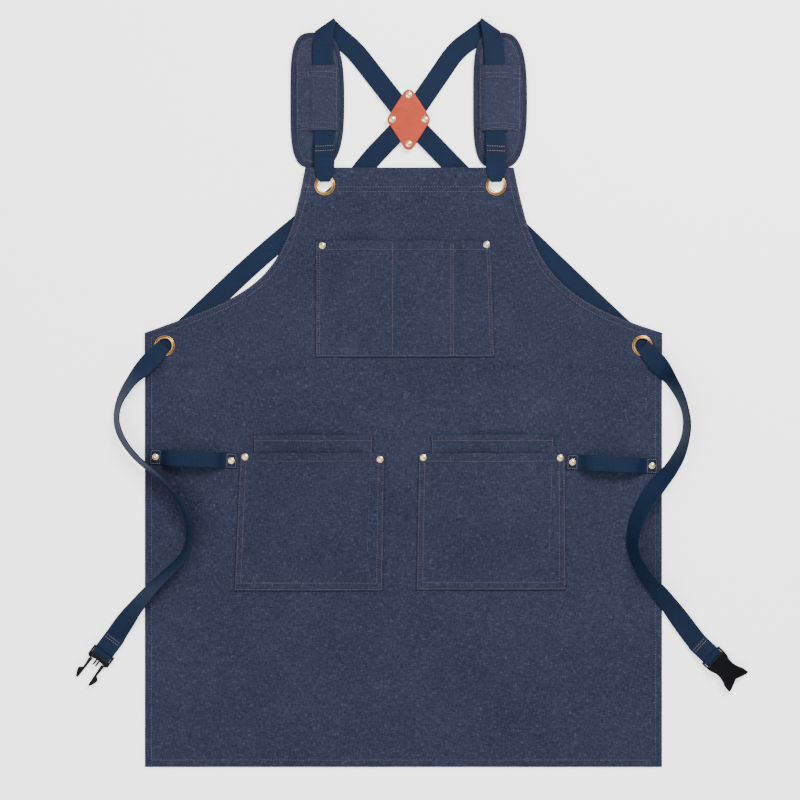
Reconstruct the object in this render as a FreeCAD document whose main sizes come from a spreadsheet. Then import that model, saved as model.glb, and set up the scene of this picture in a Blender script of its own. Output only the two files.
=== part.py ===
"""Cross-back work apron, laid out flat with its face up.

Frame: millimetres, +Z up, +Y from the hem to the shoulders, +X to the apron's left as it is seen
from above on the right.  The origin is on the surface the apron lies on, at the middle of its box.
The skirt lies on that surface; the bib is lifted over the shoulder straps, which run behind it.
"""
import FreeCAD
import Part
import Sketcher
import math
import os
import re

Vector = FreeCAD.Vector
UP = Vector(0, 0, 1)

doc = FreeCAD.newDocument("work_apron")

# ---------------------------------------------------------------- driving dimensions
DIMENSIONS = [
    # cloth and webbing
    ("canvas_thick", 1.0, "body and pocket canvas"),
    ("lining_thick", 0.6, "cloth of the shoulder pads"),
    ("webbing_width", 25.4, "shoulder and waist webbing"),
    ("webbing_thick", 1.4, "shoulder and waist webbing"),
    ("loop_width", 19.5, "tool loop webbing"),
    ("eyelet_neck_width", 12.5, "webbing gathered in an eyelet"),
    # body
    ("body_half_width", 328.3, "centre line to side edge"),
    ("hem_level", -475.0, "bottom edge"),
    ("side_top_level", 76.3, "where the armholes meet the sides"),
    ("bib_top_level", 285.6, "top edge of the bib"),
    ("bib_left_edge", -124.6, "top left corner"),
    ("bib_right_edge", 139.8, "top right corner"),
    ("side_lift", 2.6, "underside of the cloth over the straps"),
    ("bib_lift", 5.2, "underside of the cloth at the bib's top"),
    # eyelets
    ("eyelet_hole_radius", 9.0, "clear hole"),
    ("eyelet_outer_radius", 13.0, "flange and washer"),
    ("eyelet_wall", 0.6, "barrel wall"),
    ("eyelet_flange_height", 1.0, "rolled flange on the face"),
    ("washer_thick", 0.6, "washer on the back"),
    # rivets
    ("cap_radius", 4.2, "rivet cap"),
    ("cap_height", 1.7, "rivet cap"),
    ("post_radius", 1.2, "rivet post"),
    ("post_head_radius", 3.6, "rivet head on the back"),
    ("post_head_height", 0.7, "rivet head on the back"),
    ("rivet_hole_radius", 1.35, "hole in the cloth"),
    # leather cross patch
    ("patch_half_width", 27.0, "across"),
    ("patch_half_height", 38.0, "along"),
    ("patch_corner", 7.5, "rounded tips"),
    ("leather_thick", 1.6, "each of the two leathers"),
    # shoulder pads
    ("pad_half_width", 34.4, "across the strap"),
    ("pad_half_length", 86.0, "along the strap"),
    ("pad_floor", 0.2, "underside of the pads"),
    ("pad_tip_top", 2.65, "top of the thin lower end"),
    ("pad_crown", 6.3, "top of the padded part"),
    ("binding_width", 5.2, "edge binding"),
    ("binding_thick", 0.5, "edge binding tape"),
    ("sleeve_length", 83.0, "sleeve along the strap"),
    # buckles
    ("buckle_width", 31.0, "both halves at the webbing bar"),
    ("buckle_thick", 6.4, "frame"),
    ("bar_radius", 1.6, "webbing bar"),
    ("bar_level", 3.5, "height of the bar's axis"),
    ("prong_length", 30.5, "from the male frame to the tip"),
    ("prong_thick", 3.4, "height of the prongs"),
    ("socket_length", 47.5, "bar to the tips of the female half"),
    ("socket_thick", 9.2, "height of the female half"),
]

sheet = doc.addObject("Spreadsheet::Sheet", "Dims")
sheet.Label = "dimensions"
for row, (alias, number, meaning) in enumerate(DIMENSIONS, start=1):
    sheet.set(f"A{row}", alias)
    sheet.set(f"B{row}", str(number))
    sheet.setAlias(f"B{row}", alias)
    sheet.set(f"C{row}", meaning)
doc.recompute()


def size(formula):
    """The value of a dimension, or of a formula on dimensions, in millimetres."""
    if isinstance(formula, (int, float)):
        return float(formula)
    return float(sheet.evalExpression(formula))


CANVAS = size("canvas_thick")
LINING = size("lining_thick")
WEBBING = size("webbing_thick")
WEBBING_WIDTH = size("webbing_width")
NECK_WIDTH = size("eyelet_neck_width")
SIDE_LIFT = size("side_lift")
BIB_LIFT = size("bib_lift")
BODY_HALF = size("body_half_width")
GAP = 0.1                       # between stacked cloths of one body
SKIRT_PRESS = 0.75              # how deep the skirt's rivet heads are pressed into its cloth

# ---------------------------------------------------------------- places on the apron
BIB_EYELETS = [Vector(-99.6, 263.3, 0), Vector(117.3, 263.1, 0)]
SIDE_EYELETS = [Vector(-303.0, 60.0, 0), Vector(303.0, 60.0, 0)]
CHEST_RIVETS = [Vector(-102.9, 186.6, 0), Vector(105.3, 187.8, 0)]
LOWER_RIVETS = [Vector(-201.0, -81.2, 0), Vector(-29.6, -84.3, 0),
                Vector(25.1, -82.0, 0), Vector(198.8, -82.4, 0)]
LOOP_RIVETS = [Vector(-314.7, -81.4, 0), Vector(-218.4, -86.0, 0),
               Vector(214.5, -87.8, 0), Vector(315.3, -92.5, 0)]
PATCH_CENTRE = Vector(6.7, 346.3, 0)
PATCH_RIVETS = [PATCH_CENTRE + Vector(0, 31.0, 0), PATCH_CENTRE + Vector(-20.6, 0, 0),
                PATCH_CENTRE + Vector(20.6, 0, 0), PATCH_CENTRE + Vector(0, -31.0, 0)]

NODES = []


def node(thing, label):
    """Name an object as one of the apron's pieces."""
    thing.Label = label
    NODES.append(thing)
    return thing


def bind(thing, path, formula):
    """Bind a property or constraint to a formula on the sheet's dimensions."""
    thing.setExpression(path, re.sub(r"(?<![\w.])([a-z]+_[a-z_]+)", r"Dims.\1", formula))


def feature(name, shape):
    """A plain feature that holds a finished shape."""
    thing = doc.addObject("Part::Feature", name)
    thing.Shape = shape
    return thing


def extrusion(name, profile, direction, formula):
    """A solid drawn out from a closed profile, its length bound to a formula."""
    thing = doc.addObject("Part::Extrusion", name)
    thing.Base = profile
    thing.DirMode = "Custom"
    thing.Dir = direction
    thing.Solid = True
    thing.LengthFwd = size(formula)
    if isinstance(formula, str):
        bind(thing, "LengthFwd", formula)
    return thing


def boolean(kind, name, base, tool):
    """Part::Cut, Part::Common or Part::Fuse of two objects."""
    thing = doc.addObject("Part::" + kind, name)
    thing.Base = base
    thing.Tool = tool
    return thing


def cylinder(name, radius, height, place):
    """A cylinder standing at a place, its radius bound to a formula."""
    thing = doc.addObject("Part::Cylinder", name)
    thing.Radius = size(radius)
    bind(thing, "Radius", radius)
    thing.Height = height
    thing.Placement = FreeCAD.Placement(place, FreeCAD.Rotation())
    return thing


def drill(name, base, radius, places):
    """Cut one round hole right through the base at each place."""
    drills = [cylinder(f"{name}_drill_{number}", radius, 40.0, Vector(place.x, place.y, -10))
              for number, place in enumerate(places)]
    tools = doc.addObject("Part::Compound", name + "_drills")
    tools.Links = drills
    return boolean("Cut", name, base, tools)


def closed_wire(edges):
    """One closed wire from edges that meet end to end."""
    return Part.Wire(Part.__sortEdges__(edges))


def line(start, end):
    """A straight edge."""
    return Part.LineSegment(start, end).toShape()


def origin_plane(body, role):
    """One of a body's own origin planes."""
    return next(item for item in body.Origin.OriginFeatures if item.Role == role)


def fix_corner(sketch, geometry, corner):
    """Hold the start of a sketch line at a corner, each distance bound to its formula."""
    axes = (("DistanceX", -2), ("DistanceY", -1))
    for (kind, axis), formula in zip(axes, corner):
        if abs(size(formula)) < 1e-9:
            sketch.addConstraint(Sketcher.Constraint("PointOnObject", geometry, 1, axis))
            continue
        index = sketch.addConstraint(Sketcher.Constraint(kind, -1, 1, geometry, 1, size(formula)))
        if isinstance(formula, str):
            bind(sketch, f"Constraints[{index}]", formula)


def polygon_body(name, role, corners):
    """A body with one closed, dimensioned sketch of straight lines on an origin plane."""
    body = doc.addObject("PartDesign::Body", name)
    sketch = body.newObject("Sketcher::SketchObject", name + "_sketch")
    sketch.AttachmentSupport = (origin_plane(body, role), [""])
    sketch.MapMode = "FlatFace"
    spots = [Vector(size(across), size(along), 0) for across, along in corners]
    for index, spot in enumerate(spots):
        sketch.addGeometry(Part.LineSegment(spot, spots[(index + 1) % len(spots)]), False)
    for index in range(len(spots)):
        following = (index + 1) % len(spots)
        sketch.addConstraint(Sketcher.Constraint("Coincident", index, 2, following, 1))
    for index, corner in enumerate(corners):
        fix_corner(sketch, index, corner)
    return body, sketch


def turned_body(name, corners):
    """A round piece: a half profile (radius, height) turned about the Z axis."""
    body, sketch = polygon_body(name, "XZ_Plane", corners)
    turned = body.newObject("PartDesign::Revolution", name + "_turned")
    turned.Profile = sketch
    turned.ReferenceAxis = (sketch, ["V_Axis"])
    turned.Angle = 360.0
    return body


def padded_body(name, role, corners, formula, both_ways=False):
    """A flat piece: a profile padded by a length bound to a formula."""
    body, sketch = polygon_body(name, role, corners)
    pad = body.newObject("PartDesign::Pad", name + "_pad")
    pad.Profile = sketch
    pad.Length = size(formula)
    if isinstance(formula, str):
        bind(pad, "Length", formula)
    pad.Midplane = both_ways
    return body


def group_of(label, master, places):
    """One node holding a separate copy of a finished piece at each place."""
    copies = []
    for place in places:
        copy = master.Shape.copy()
        copy.translate(place)
        copies.append(copy)
    return node(feature(label, Part.makeCompound(copies)), label)


# ---------------------------------------------------------------- apron body
def body_outline():
    """Plan outline: straight sides and hem, and one smooth curve for each armhole."""
    side, hem, top = BODY_HALF, size("hem_level"), size("side_top_level")
    bib = size("bib_top_level")
    left_bib, right_bib = size("bib_left_edge"), size("bib_right_edge")
    left_hole = Part.BezierCurve()
    left_hole.setPoles([Vector(left_bib, bib, 0), Vector(-151, 136, 0),
                        Vector(-188, 126.7, 0), Vector(-side, top, 0)])
    right_hole = Part.BezierCurve()
    right_hole.setPoles([Vector(side, top, 0), Vector(182.3, 120.3, 0),
                         Vector(162.6, 170.3, 0), Vector(right_bib, bib, 0)])
    return closed_wire([
        line(Vector(-side, hem, 0), Vector(side, hem, 0)),
        line(Vector(side, hem, 0), Vector(side, top, 0)),
        right_hole.toShape(),
        line(Vector(right_bib, bib, 0), Vector(left_bib, bib, 0)),
        left_hole.toShape(),
        line(Vector(-side, top, 0), Vector(-side, hem, 0))])


# How the cloth's underside rises from the hem to the bib's top: (along, height).
BODY_RISE = [(-520, 0), (18, 0), (40, SIDE_LIFT), (215, SIDE_LIFT), (243, BIB_LIFT), (320, BIB_LIFT)]


def side_band(name, lower, thick, half_width):
    """A band of even upright thickness over a side profile, drawn across the apron."""
    low = [Vector(-half_width, along, height) for along, height in lower]
    high = [Vector(-half_width, along, height + thick) for along, height in reversed(lower)]
    corners = low + high
    wire = Part.makePolygon(corners + corners[:1])
    return extrusion(name, feature(name + "_profile", wire), Vector(1, 0, 0), 2 * half_width)


def make_body():
    """The canvas: the plan outline taken out of the rising side band, then its holes."""
    prism = extrusion("body_prism", feature("body_outline", body_outline()), UP, 20.0)
    cloth = boolean("Common", "body_cloth", prism, side_band("body_band", BODY_RISE, CANVAS, 400))
    eyeleted = drill("body_eyeleted", cloth, "eyelet_hole_radius + eyelet_wall + 0.1",
                     BIB_EYELETS + SIDE_EYELETS)
    rivets = CHEST_RIVETS + LOWER_RIVETS + LOOP_RIVETS
    riveted = drill("body_riveted", eyeleted, "rivet_hole_radius", rivets)
    pressed = [cylinder(f"body_press_{number}", "post_head_radius + 0.1", 10.0 + SKIRT_PRESS,
                        Vector(place.x, place.y, -10))
               for number, place in enumerate(LOWER_RIVETS + LOOP_RIVETS)]
    presses = doc.addObject("Part::Compound", "body_presses")
    presses.Links = pressed
    node(boolean("Cut", "body_pressed", riveted, presses), "apron_body")


make_body()


# ---------------------------------------------------------------- pockets
def pocket_section(along, floor, edges, arches):
    """A cross-section of a pocket's cloth at one level: flat feet and hollow arches.

    edges are the left and right edges; arches are (start, end, rise) from left to right.
    """
    left, right = edges
    outer, inner = [], []
    for lift, chain in ((floor + CANVAS, outer), (floor, inner)):
        here = Vector(left, along, lift)
        for start, end, rise in arches:
            foot, far = Vector(start, along, lift), Vector(end, along, lift)
            crown = Vector((start + end) / 2, along, lift + rise)
            chain.append(line(here, foot))
            chain.append(Part.Arc(foot, crown, far).toShape())
            here = far
        chain.append(line(here, Vector(right, along, lift)))
    left_end = line(Vector(left, along, floor), Vector(left, along, floor + CANVAS))
    right_end = line(Vector(right, along, floor + CANVAS), Vector(right, along, floor))
    return Part.Wire(outer + [right_end] + list(reversed(inner)) + [left_end])


def pocket_cloth(label, sections, rivets):
    """A pocket: its cross-sections joined from mouth to bottom, then holed for its rivets."""
    cloth = feature(label + "_cloth", Part.makeLoft(sections, True, True))
    if rivets:
        cloth = drill(label + "_riveted", cloth, "rivet_hole_radius", rivets)
    node(cloth, label)


def make_chest_pocket():
    """The bib pocket: three compartments side by side behind one piece of cloth."""
    floor = SIDE_LIFT + CANVAS + GAP
    rises = [(193.0, 1.0, 111.0), (125.0, 0.8, 113.3), (45.0, 0.05, 116.0)]
    sections = []
    for along, share, right in rises:
        arches = [(-97.9, -17.1, 9.0 * share), (-11.1, 57.9, 8.0 * share),
                  (65.2, right - 14.0, 6.0 * share)]
        sections.append(pocket_section(along, floor, (-111.9, right), arches))
    pocket_cloth("chest_pocket", sections, CHEST_RIVETS)


# Each lower pocket: (left, right) edges at the mouth and at the bottom, and those levels.
FRONT_POCKETS = {
    "left_front_pocket": ((-207.6, -23.5), (-215.3, -26.0), -75.8, -251.5),
    "right_front_pocket": ((18.9, 205.5), (15.9, 206.4), -76.0, -250.5)}
REAR_POCKETS = {
    "left_rear_pocket": ((-190.8, -38.5), (-190.0, -44.0), -53.0, -205.0),
    "right_rear_pocket": ((34.4, 191.4), (40.0, 187.0), -52.8, -205.0)}


def make_lower_pockets():
    """Two double pockets: a rear cloth on the apron and a wider front cloth over it."""
    floor = CANVAS + GAP
    for pockets, foot, rise in ((REAR_POCKETS, 9.0, 6.6), (FRONT_POCKETS, 11.4, 14.4)):
        for label, (mouth, bottom, top_level, low_level) in pockets.items():
            sections = []
            for down, share in ((0.0, 1.0), (0.45, 0.8), (1.0, 0.04)):
                along = top_level + (low_level - top_level) * down
                left = mouth[0] + (bottom[0] - mouth[0]) * down
                right = mouth[1] + (bottom[1] - mouth[1]) * down
                arch = [(left + foot, right - foot, rise * share)]
                sections.append(pocket_section(along, floor, (left, right), arch))
            rivets = [spot for spot in LOWER_RIVETS
                      if label in FRONT_POCKETS and mouth[0] < spot.x < mouth[1]]
            pocket_cloth(label, sections, rivets)


make_chest_pocket()
make_lower_pockets()


# ---------------------------------------------------------------- tool loops
def make_tool_loop(label, first, last):
    """A strip of webbing riveted down at both ends, arched so that a tool can hang in it."""
    span = (last - first).Length
    foot, rise = 8.0, 15.0
    under = [(-7.0, 0), (foot, 0), (span * 0.24, rise * 0.86), (span * 0.5, rise),
             (span * 0.76, rise * 0.86), (span - foot, 0), (span + 7.0, 0)]
    over = [(across, height + WEBBING) for across, height in under]
    over[1] = (foot - 1.0, WEBBING)
    over[-2] = (span - foot + 1.0, WEBBING)
    body = padded_body(label + "_strip", "XZ_Plane", under + list(reversed(over)), "loop_width", True)
    tilt = math.degrees(math.atan2(last.y - first.y, last.x - first.x))
    start = Vector(first.x, first.y, CANVAS + GAP)
    body.Placement = FreeCAD.Placement(start, FreeCAD.Rotation(UP, tilt))
    node(drill(label + "_riveted", body, "rivet_hole_radius", [first, last]), label)


make_tool_loop("left_tool_loop", LOOP_RIVETS[0], LOOP_RIVETS[1])
make_tool_loop("right_tool_loop", LOOP_RIVETS[2], LOOP_RIVETS[3])


# ---------------------------------------------------------------- eyelets and rivets
def make_eyelets(where, places, lift):
    """Brass eyelets with a rolled flange on the face, and their washers on the back."""
    hole, outer = "eyelet_hole_radius", "eyelet_outer_radius"
    barrel = hole + " + eyelet_wall"
    flange, washer = "eyelet_flange_height", "washer_thick"
    down = f"-(canvas_thick + {washer} + 0.1)"
    ring = turned_body(where + "_eyelet_master", [
        (hole, down), (barrel, down), (barrel, 0.05), (outer, 0.05), (outer, f"{flange} * 0.45"),
        (f"{outer} - 1.3", flange), (f"{hole} + 1.1", flange), (hole, f"{flange} * 0.55")])
    disc = turned_body(where + "_washer_master", [
        (f"{barrel} + 0.1", 0), (outer, 0), (outer, washer), (f"{barrel} + 0.1", washer)])
    doc.recompute()
    face = Vector(0, 0, lift + CANVAS)
    group_of(where + "_eyelets", ring, [place + face for place in places])
    back = Vector(0, 0, lift - 0.05 - size("washer_thick"))
    group_of(where + "_eyelet_washers", disc, [place + back for place in places])


make_eyelets("bib", BIB_EYELETS, BIB_LIFT)
make_eyelets("side", SIDE_EYELETS, SIDE_LIFT)


def make_rivets(where, places, back, front):
    """Domed caps on the face, and posts whose flat heads are on the back.

    back and front are the heights of the lowest and the highest cloth face they hold.
    """
    cap, tall = "cap_radius", "cap_height"
    caps = turned_body(where + "_cap_master", [
        (0, 0), (cap, 0), (cap, f"{tall} * 0.35"), (f"{cap} * 0.86", f"{tall} * 0.68"),
        (f"{cap} * 0.55", f"{tall} * 0.92"), (0, tall)])
    head, thick, post = "post_head_radius", "post_head_height", "post_radius"
    stem = front - back
    posts = turned_body(where + "_post_master", [
        (0, f"-{thick}"), (head, f"-{thick}"), (head, 0), (post, 0), (post, stem), (0, stem)])
    doc.recompute()
    group_of(where + "_rivet_caps", caps, [place + Vector(0, 0, front) for place in places])
    group_of(where + "_rivet_posts", posts, [place + Vector(0, 0, back) for place in places])


# ---------------------------------------------------------------- webbing
def ribbon(stations, thick=WEBBING):
    """A flat band through stations (centre, across, width): a ruled loft of rectangles."""
    sections = []
    for index, (centre, across, width) in enumerate(stations):
        before = stations[max(index - 1, 0)][0]
        after = stations[min(index + 1, len(stations) - 1)][0]
        tangent = (after - before).normalize()
        normal = tangent.cross(across).normalize() * (thick / 2)
        side = Vector(across).normalize() * (width / 2)
        corners = [centre - side - normal, centre + side - normal,
                   centre + side + normal, centre - side + normal]
        sections.append(Part.makePolygon(corners + corners[:1]))
    return Part.makeLoft(sections, True, True)


def plan_across(heading):
    """The unit vector across a band that lies flat and runs along a heading in plan."""
    return Vector(-heading.y, heading.x, 0).normalize()


PAD_TOP = size("pad_crown")
STRAP_LEVEL = PAD_TOP + 0.4 + WEBBING / 2     # middle of the webbing over the pads
RETURN_LEVEL = BIB_LIFT - size("washer_thick") - 0.15 - WEBBING / 2
GROUND_LEVEL = 0.2 + WEBBING / 2              # middle of the webbing on the ground


def strap_leg(eyelet, top, mirror):
    """Stations of the front of a strap: sewn end, back leg, eyelet, front leg, up to the fold.

    The band stays in the upright plane through the eyelet and the top of the leg.
    """
    rise = (top - eyelet)
    rise.z = 0
    run = Vector(rise).normalize()
    across = Vector(mirror * run.y, -mirror * run.x, 0)
    neck, full = NECK_WIDTH, WEBBING_WIDTH
    back = RETURN_LEVEL
    high = STRAP_LEVEL + WEBBING + 0.2
    face = BIB_LIFT + CANVAS + size("eyelet_flange_height") + 0.7 + WEBBING / 2
    profile = [
        # (along from the eyelet's centre, height, width)
        (52.0, STRAP_LEVEL, full), (46.0, STRAP_LEVEL, full), (38.0, STRAP_LEVEL - 1.7, full),
        (27.0, back + 0.7, full), (20.5, back, full - 3), (12.0, back, neck + 3),
        (7.2, back, neck), (5.3, back + 0.7, neck), (4.6, back + 2.6, neck),
        (4.6, face - 1.6, neck), (5.6, face - 0.4, neck), (8.0, face, neck + 3),
        (14.0, face, full - 4), (22.0, face, full), (36.0, high - 0.5, full),
        (45.0, high, full), (51.5, high, full), (56.5, STRAP_LEVEL, full)]
    return [(eyelet + run * along + Vector(0, 0, height), across, width)
            for along, height, width in profile], across


def fold_stations(centre, crease):
    """Stations of the turn at the top of a strap, from the upper layer down to the lower."""
    outward = UP.cross(crease)
    if outward.y < 0:
        outward = outward * -1
    radius = (STRAP_LEVEL - GROUND_LEVEL) / 2
    axis = centre - outward * (radius + WEBBING / 2)
    turns = []
    for step in range(5):
        angle = math.radians(90 - 45 * step)
        swing = outward * (radius * math.cos(angle))
        height = GROUND_LEVEL + radius * (1 + math.sin(angle))
        turns.append((axis + swing + Vector(0, 0, height), crease, 27.0))
    return turns


def diagonal_stations(route):
    """Stations of the strap behind the apron, flat, along a route of points."""
    stations = []
    for index, spot in enumerate(route):
        before, after = route[max(index - 1, 0)], route[min(index + 1, len(route) - 1)]
        stations.append((spot, plan_across(after - before), WEBBING_WIDTH))
    return stations


def make_strap(label, eyelet, top, fold, shoulder, patch_level, far_eyelet, mirror):
    """One shoulder strap: bib eyelet, over the pad, fold, cross patch, behind the bib, side eyelet."""
    crease_centre, crease = fold
    leg, across = strap_leg(eyelet, top, mirror)
    leg += [(Vector(spot.x, spot.y, STRAP_LEVEL), across, WEBBING_WIDTH)
            for spot in (top + (eyelet - top) * 0.3, top)]
    turn = fold_stations(crease_centre, crease)
    patch = Vector(PATCH_CENTRE.x, PATCH_CENTRE.y, 0)
    outward = (patch - shoulder).normalize()
    onward = Vector(mirror * 0.6985, -0.7156, 0)
    floor = GROUND_LEVEL
    route = [crease_centre + (shoulder - crease_centre) * 0.5 + Vector(0, 0, floor),
             shoulder + Vector(0, 0, floor),
             patch - outward * 72 + Vector(0, 0, floor),
             patch - outward * 40 + Vector(0, 0, patch_level),
             patch - outward * 12 + Vector(0, 0, patch_level),
             patch + onward * 12 + Vector(0, 0, patch_level),
             patch + onward * 40 + Vector(0, 0, patch_level),
             patch + onward * 72 + Vector(0, 0, floor),
             Vector(mirror * 169.6, 185.1, floor),
             Vector(mirror * 275.0, 84.5, floor)]
    tail = diagonal_stations(route)
    heading = far_eyelet - route[-1]
    heading.z = 0
    heading.normalize()
    neck_across = plan_across(heading)
    top_level = SIDE_LIFT + CANVAS + size("eyelet_flange_height") + 0.3
    tail += [(far_eyelet - heading * 11 + Vector(0, 0, floor), neck_across, NECK_WIDTH + 4),
             (far_eyelet - heading * 2.0 + Vector(0, 0, floor), neck_across, NECK_WIDTH),
             (far_eyelet + heading * 0.6 + Vector(0, 0, floor + 1.0), neck_across, NECK_WIDTH),
             (far_eyelet + heading * 1.2 + Vector(0, 0, floor + 2.6), neck_across, NECK_WIDTH),
             (far_eyelet + heading * 1.2 + Vector(0, 0, top_level), neck_across, NECK_WIDTH)]
    flipped = [(spot, side * -1, width) for spot, side, width in tail]
    node(feature(label, ribbon(leg + turn + flipped)), label)


A_LEVEL = 3.4                    # middle of the lower strap inside the cross patch
B_LEVEL = A_LEVEL + WEBBING + 0.2

make_strap("left_shoulder_strap", BIB_EYELETS[0], Vector(-102.9, 446.0, 0),
           (Vector(-100.5, 467.0, 0), Vector(0.819, 0.574, 0)), Vector(-61.5, 434.5, 0),
           A_LEVEL, SIDE_EYELETS[1], 1)
make_strap("right_shoulder_strap", BIB_EYELETS[1], Vector(114.6, 446.0, 0),
           (Vector(111.0, 467.0, 0), Vector(-0.819, 0.574, 0)), Vector(66.4, 434.8, 0),
           B_LEVEL, SIDE_EYELETS[0], -1)


# ---------------------------------------------------------------- leather cross patch
def patch_body(name, level):
    """A leather diamond with rounded tips: four straight sides and four tangent arcs."""
    body = doc.addObject("PartDesign::Body", name)
    sketch = body.newObject("Sketcher::SketchObject", name + "_sketch")
    sketch.AttachmentSupport = (origin_plane(body, "XY_Plane"), [""])
    sketch.MapMode = "FlatFace"
    radius = size("patch_corner")
    reach = [size("patch_half_width") - radius, size("patch_half_height") - radius]
    centres = [Vector(reach[0], 0, 0), Vector(0, reach[1], 0),
               Vector(-reach[0], 0, 0), Vector(0, -reach[1], 0)]
    tilt = math.atan2(reach[0], reach[1])
    corners = [(-tilt, tilt), (tilt, math.pi - tilt),
               (math.pi - tilt, math.pi + tilt), (math.pi + tilt, 2 * math.pi - tilt)]
    for centre, (first, last) in zip(centres, corners):
        circle = Part.Circle(centre, UP, radius)
        sketch.addGeometry(Part.ArcOfCircle(circle, first, last), False)
    for index in range(4):
        start = sketch.getPoint(index, 2)
        end = sketch.getPoint((index + 1) % 4, 1)
        sketch.addGeometry(Part.LineSegment(start, end), False)
    for index in range(4):
        sketch.addConstraint(Sketcher.Constraint("Tangent", index, 2, 4 + index, 1))
        sketch.addConstraint(Sketcher.Constraint("Tangent", 4 + index, 2, (index + 1) % 4, 1))
    for index in range(1, 4):
        sketch.addConstraint(Sketcher.Constraint("Equal", 0, index))
    for index, axis in ((0, -1), (1, -2), (2, -1), (3, -2)):
        sketch.addConstraint(Sketcher.Constraint("PointOnObject", index, 3, axis))
    corner = sketch.addConstraint(Sketcher.Constraint("Radius", 0, radius))
    bind(sketch, f"Constraints[{corner}]", "patch_corner")
    reaches = [(0, "DistanceX", 1, "width"), (1, "DistanceY", 1, "height"),
               (2, "DistanceX", -1, "width"), (3, "DistanceY", -1, "height")]
    for index, kind, sign, name_part in reaches:
        formula = f"{sign} * (patch_half_{name_part} - patch_corner)"
        held = sketch.addConstraint(Sketcher.Constraint(kind, -1, 1, index, 3, size(formula)))
        bind(sketch, f"Constraints[{held}]", formula)
    pad = body.newObject("PartDesign::Pad", name + "_pad")
    pad.Profile = sketch
    bind(pad, "Length", "leather_thick")
    body.Placement = FreeCAD.Placement(PATCH_CENTRE + Vector(0, 0, level), FreeCAD.Rotation())
    return body


def make_patch():
    """Front and back leathers with the two straps free to slide between them."""
    back_level = A_LEVEL - WEBBING / 2 - 0.2 - size("leather_thick")
    front_level = B_LEVEL + WEBBING / 2 + 0.2
    for label, level in (("cross_patch_back", back_level), ("cross_patch_front", front_level)):
        leather = patch_body(label + "_leather", level)
        node(drill(label + "_riveted", leather, "rivet_hole_radius", PATCH_RIVETS), label)
    make_rivets("cross_patch", PATCH_RIVETS, back_level, front_level + size("leather_thick"))


make_patch()
make_rivets("chest_pocket", CHEST_RIVETS, SIDE_LIFT, SIDE_LIFT + 2 * CANVAS + GAP)
make_rivets("lower_pocket", LOWER_RIVETS, SKIRT_PRESS - 0.03, 2 * CANVAS + GAP)
make_rivets("tool_loop", LOOP_RIVETS, SKIRT_PRESS - 0.03, CANVAS + GAP + WEBBING)


# ---------------------------------------------------------------- shoulder pads
def pad_outline(centre, turn, inset):
    """The pad's rounded oblong, squarer on its left corners than on its right ones."""
    across = size("pad_half_width") - inset
    along = size("pad_half_length") - inset
    spots = []
    for step in range(48):
        angle = math.radians(7.5 * step)
        east, north = math.cos(angle), math.sin(angle)
        power = 2 / (2.8 if east > 0 else 3.8)
        spots.append(Vector(across * math.copysign(abs(east) ** power, east),
                            along * math.copysign(abs(north) ** power, north), 0))
    curve = Part.BSplineCurve()
    curve.interpolate(Points=spots, PeriodicFlag=True)
    wire = Part.Wire([curve.toShape()])
    wire.Placement = FreeCAD.Placement(centre, FreeCAD.Rotation(UP, turn))
    return wire


# The upper end of each pad rests on the strap that passes behind it.
LIFT_START, LIFT_END, PAD_LIFT = 394.0, 422.0, 2.1


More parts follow.
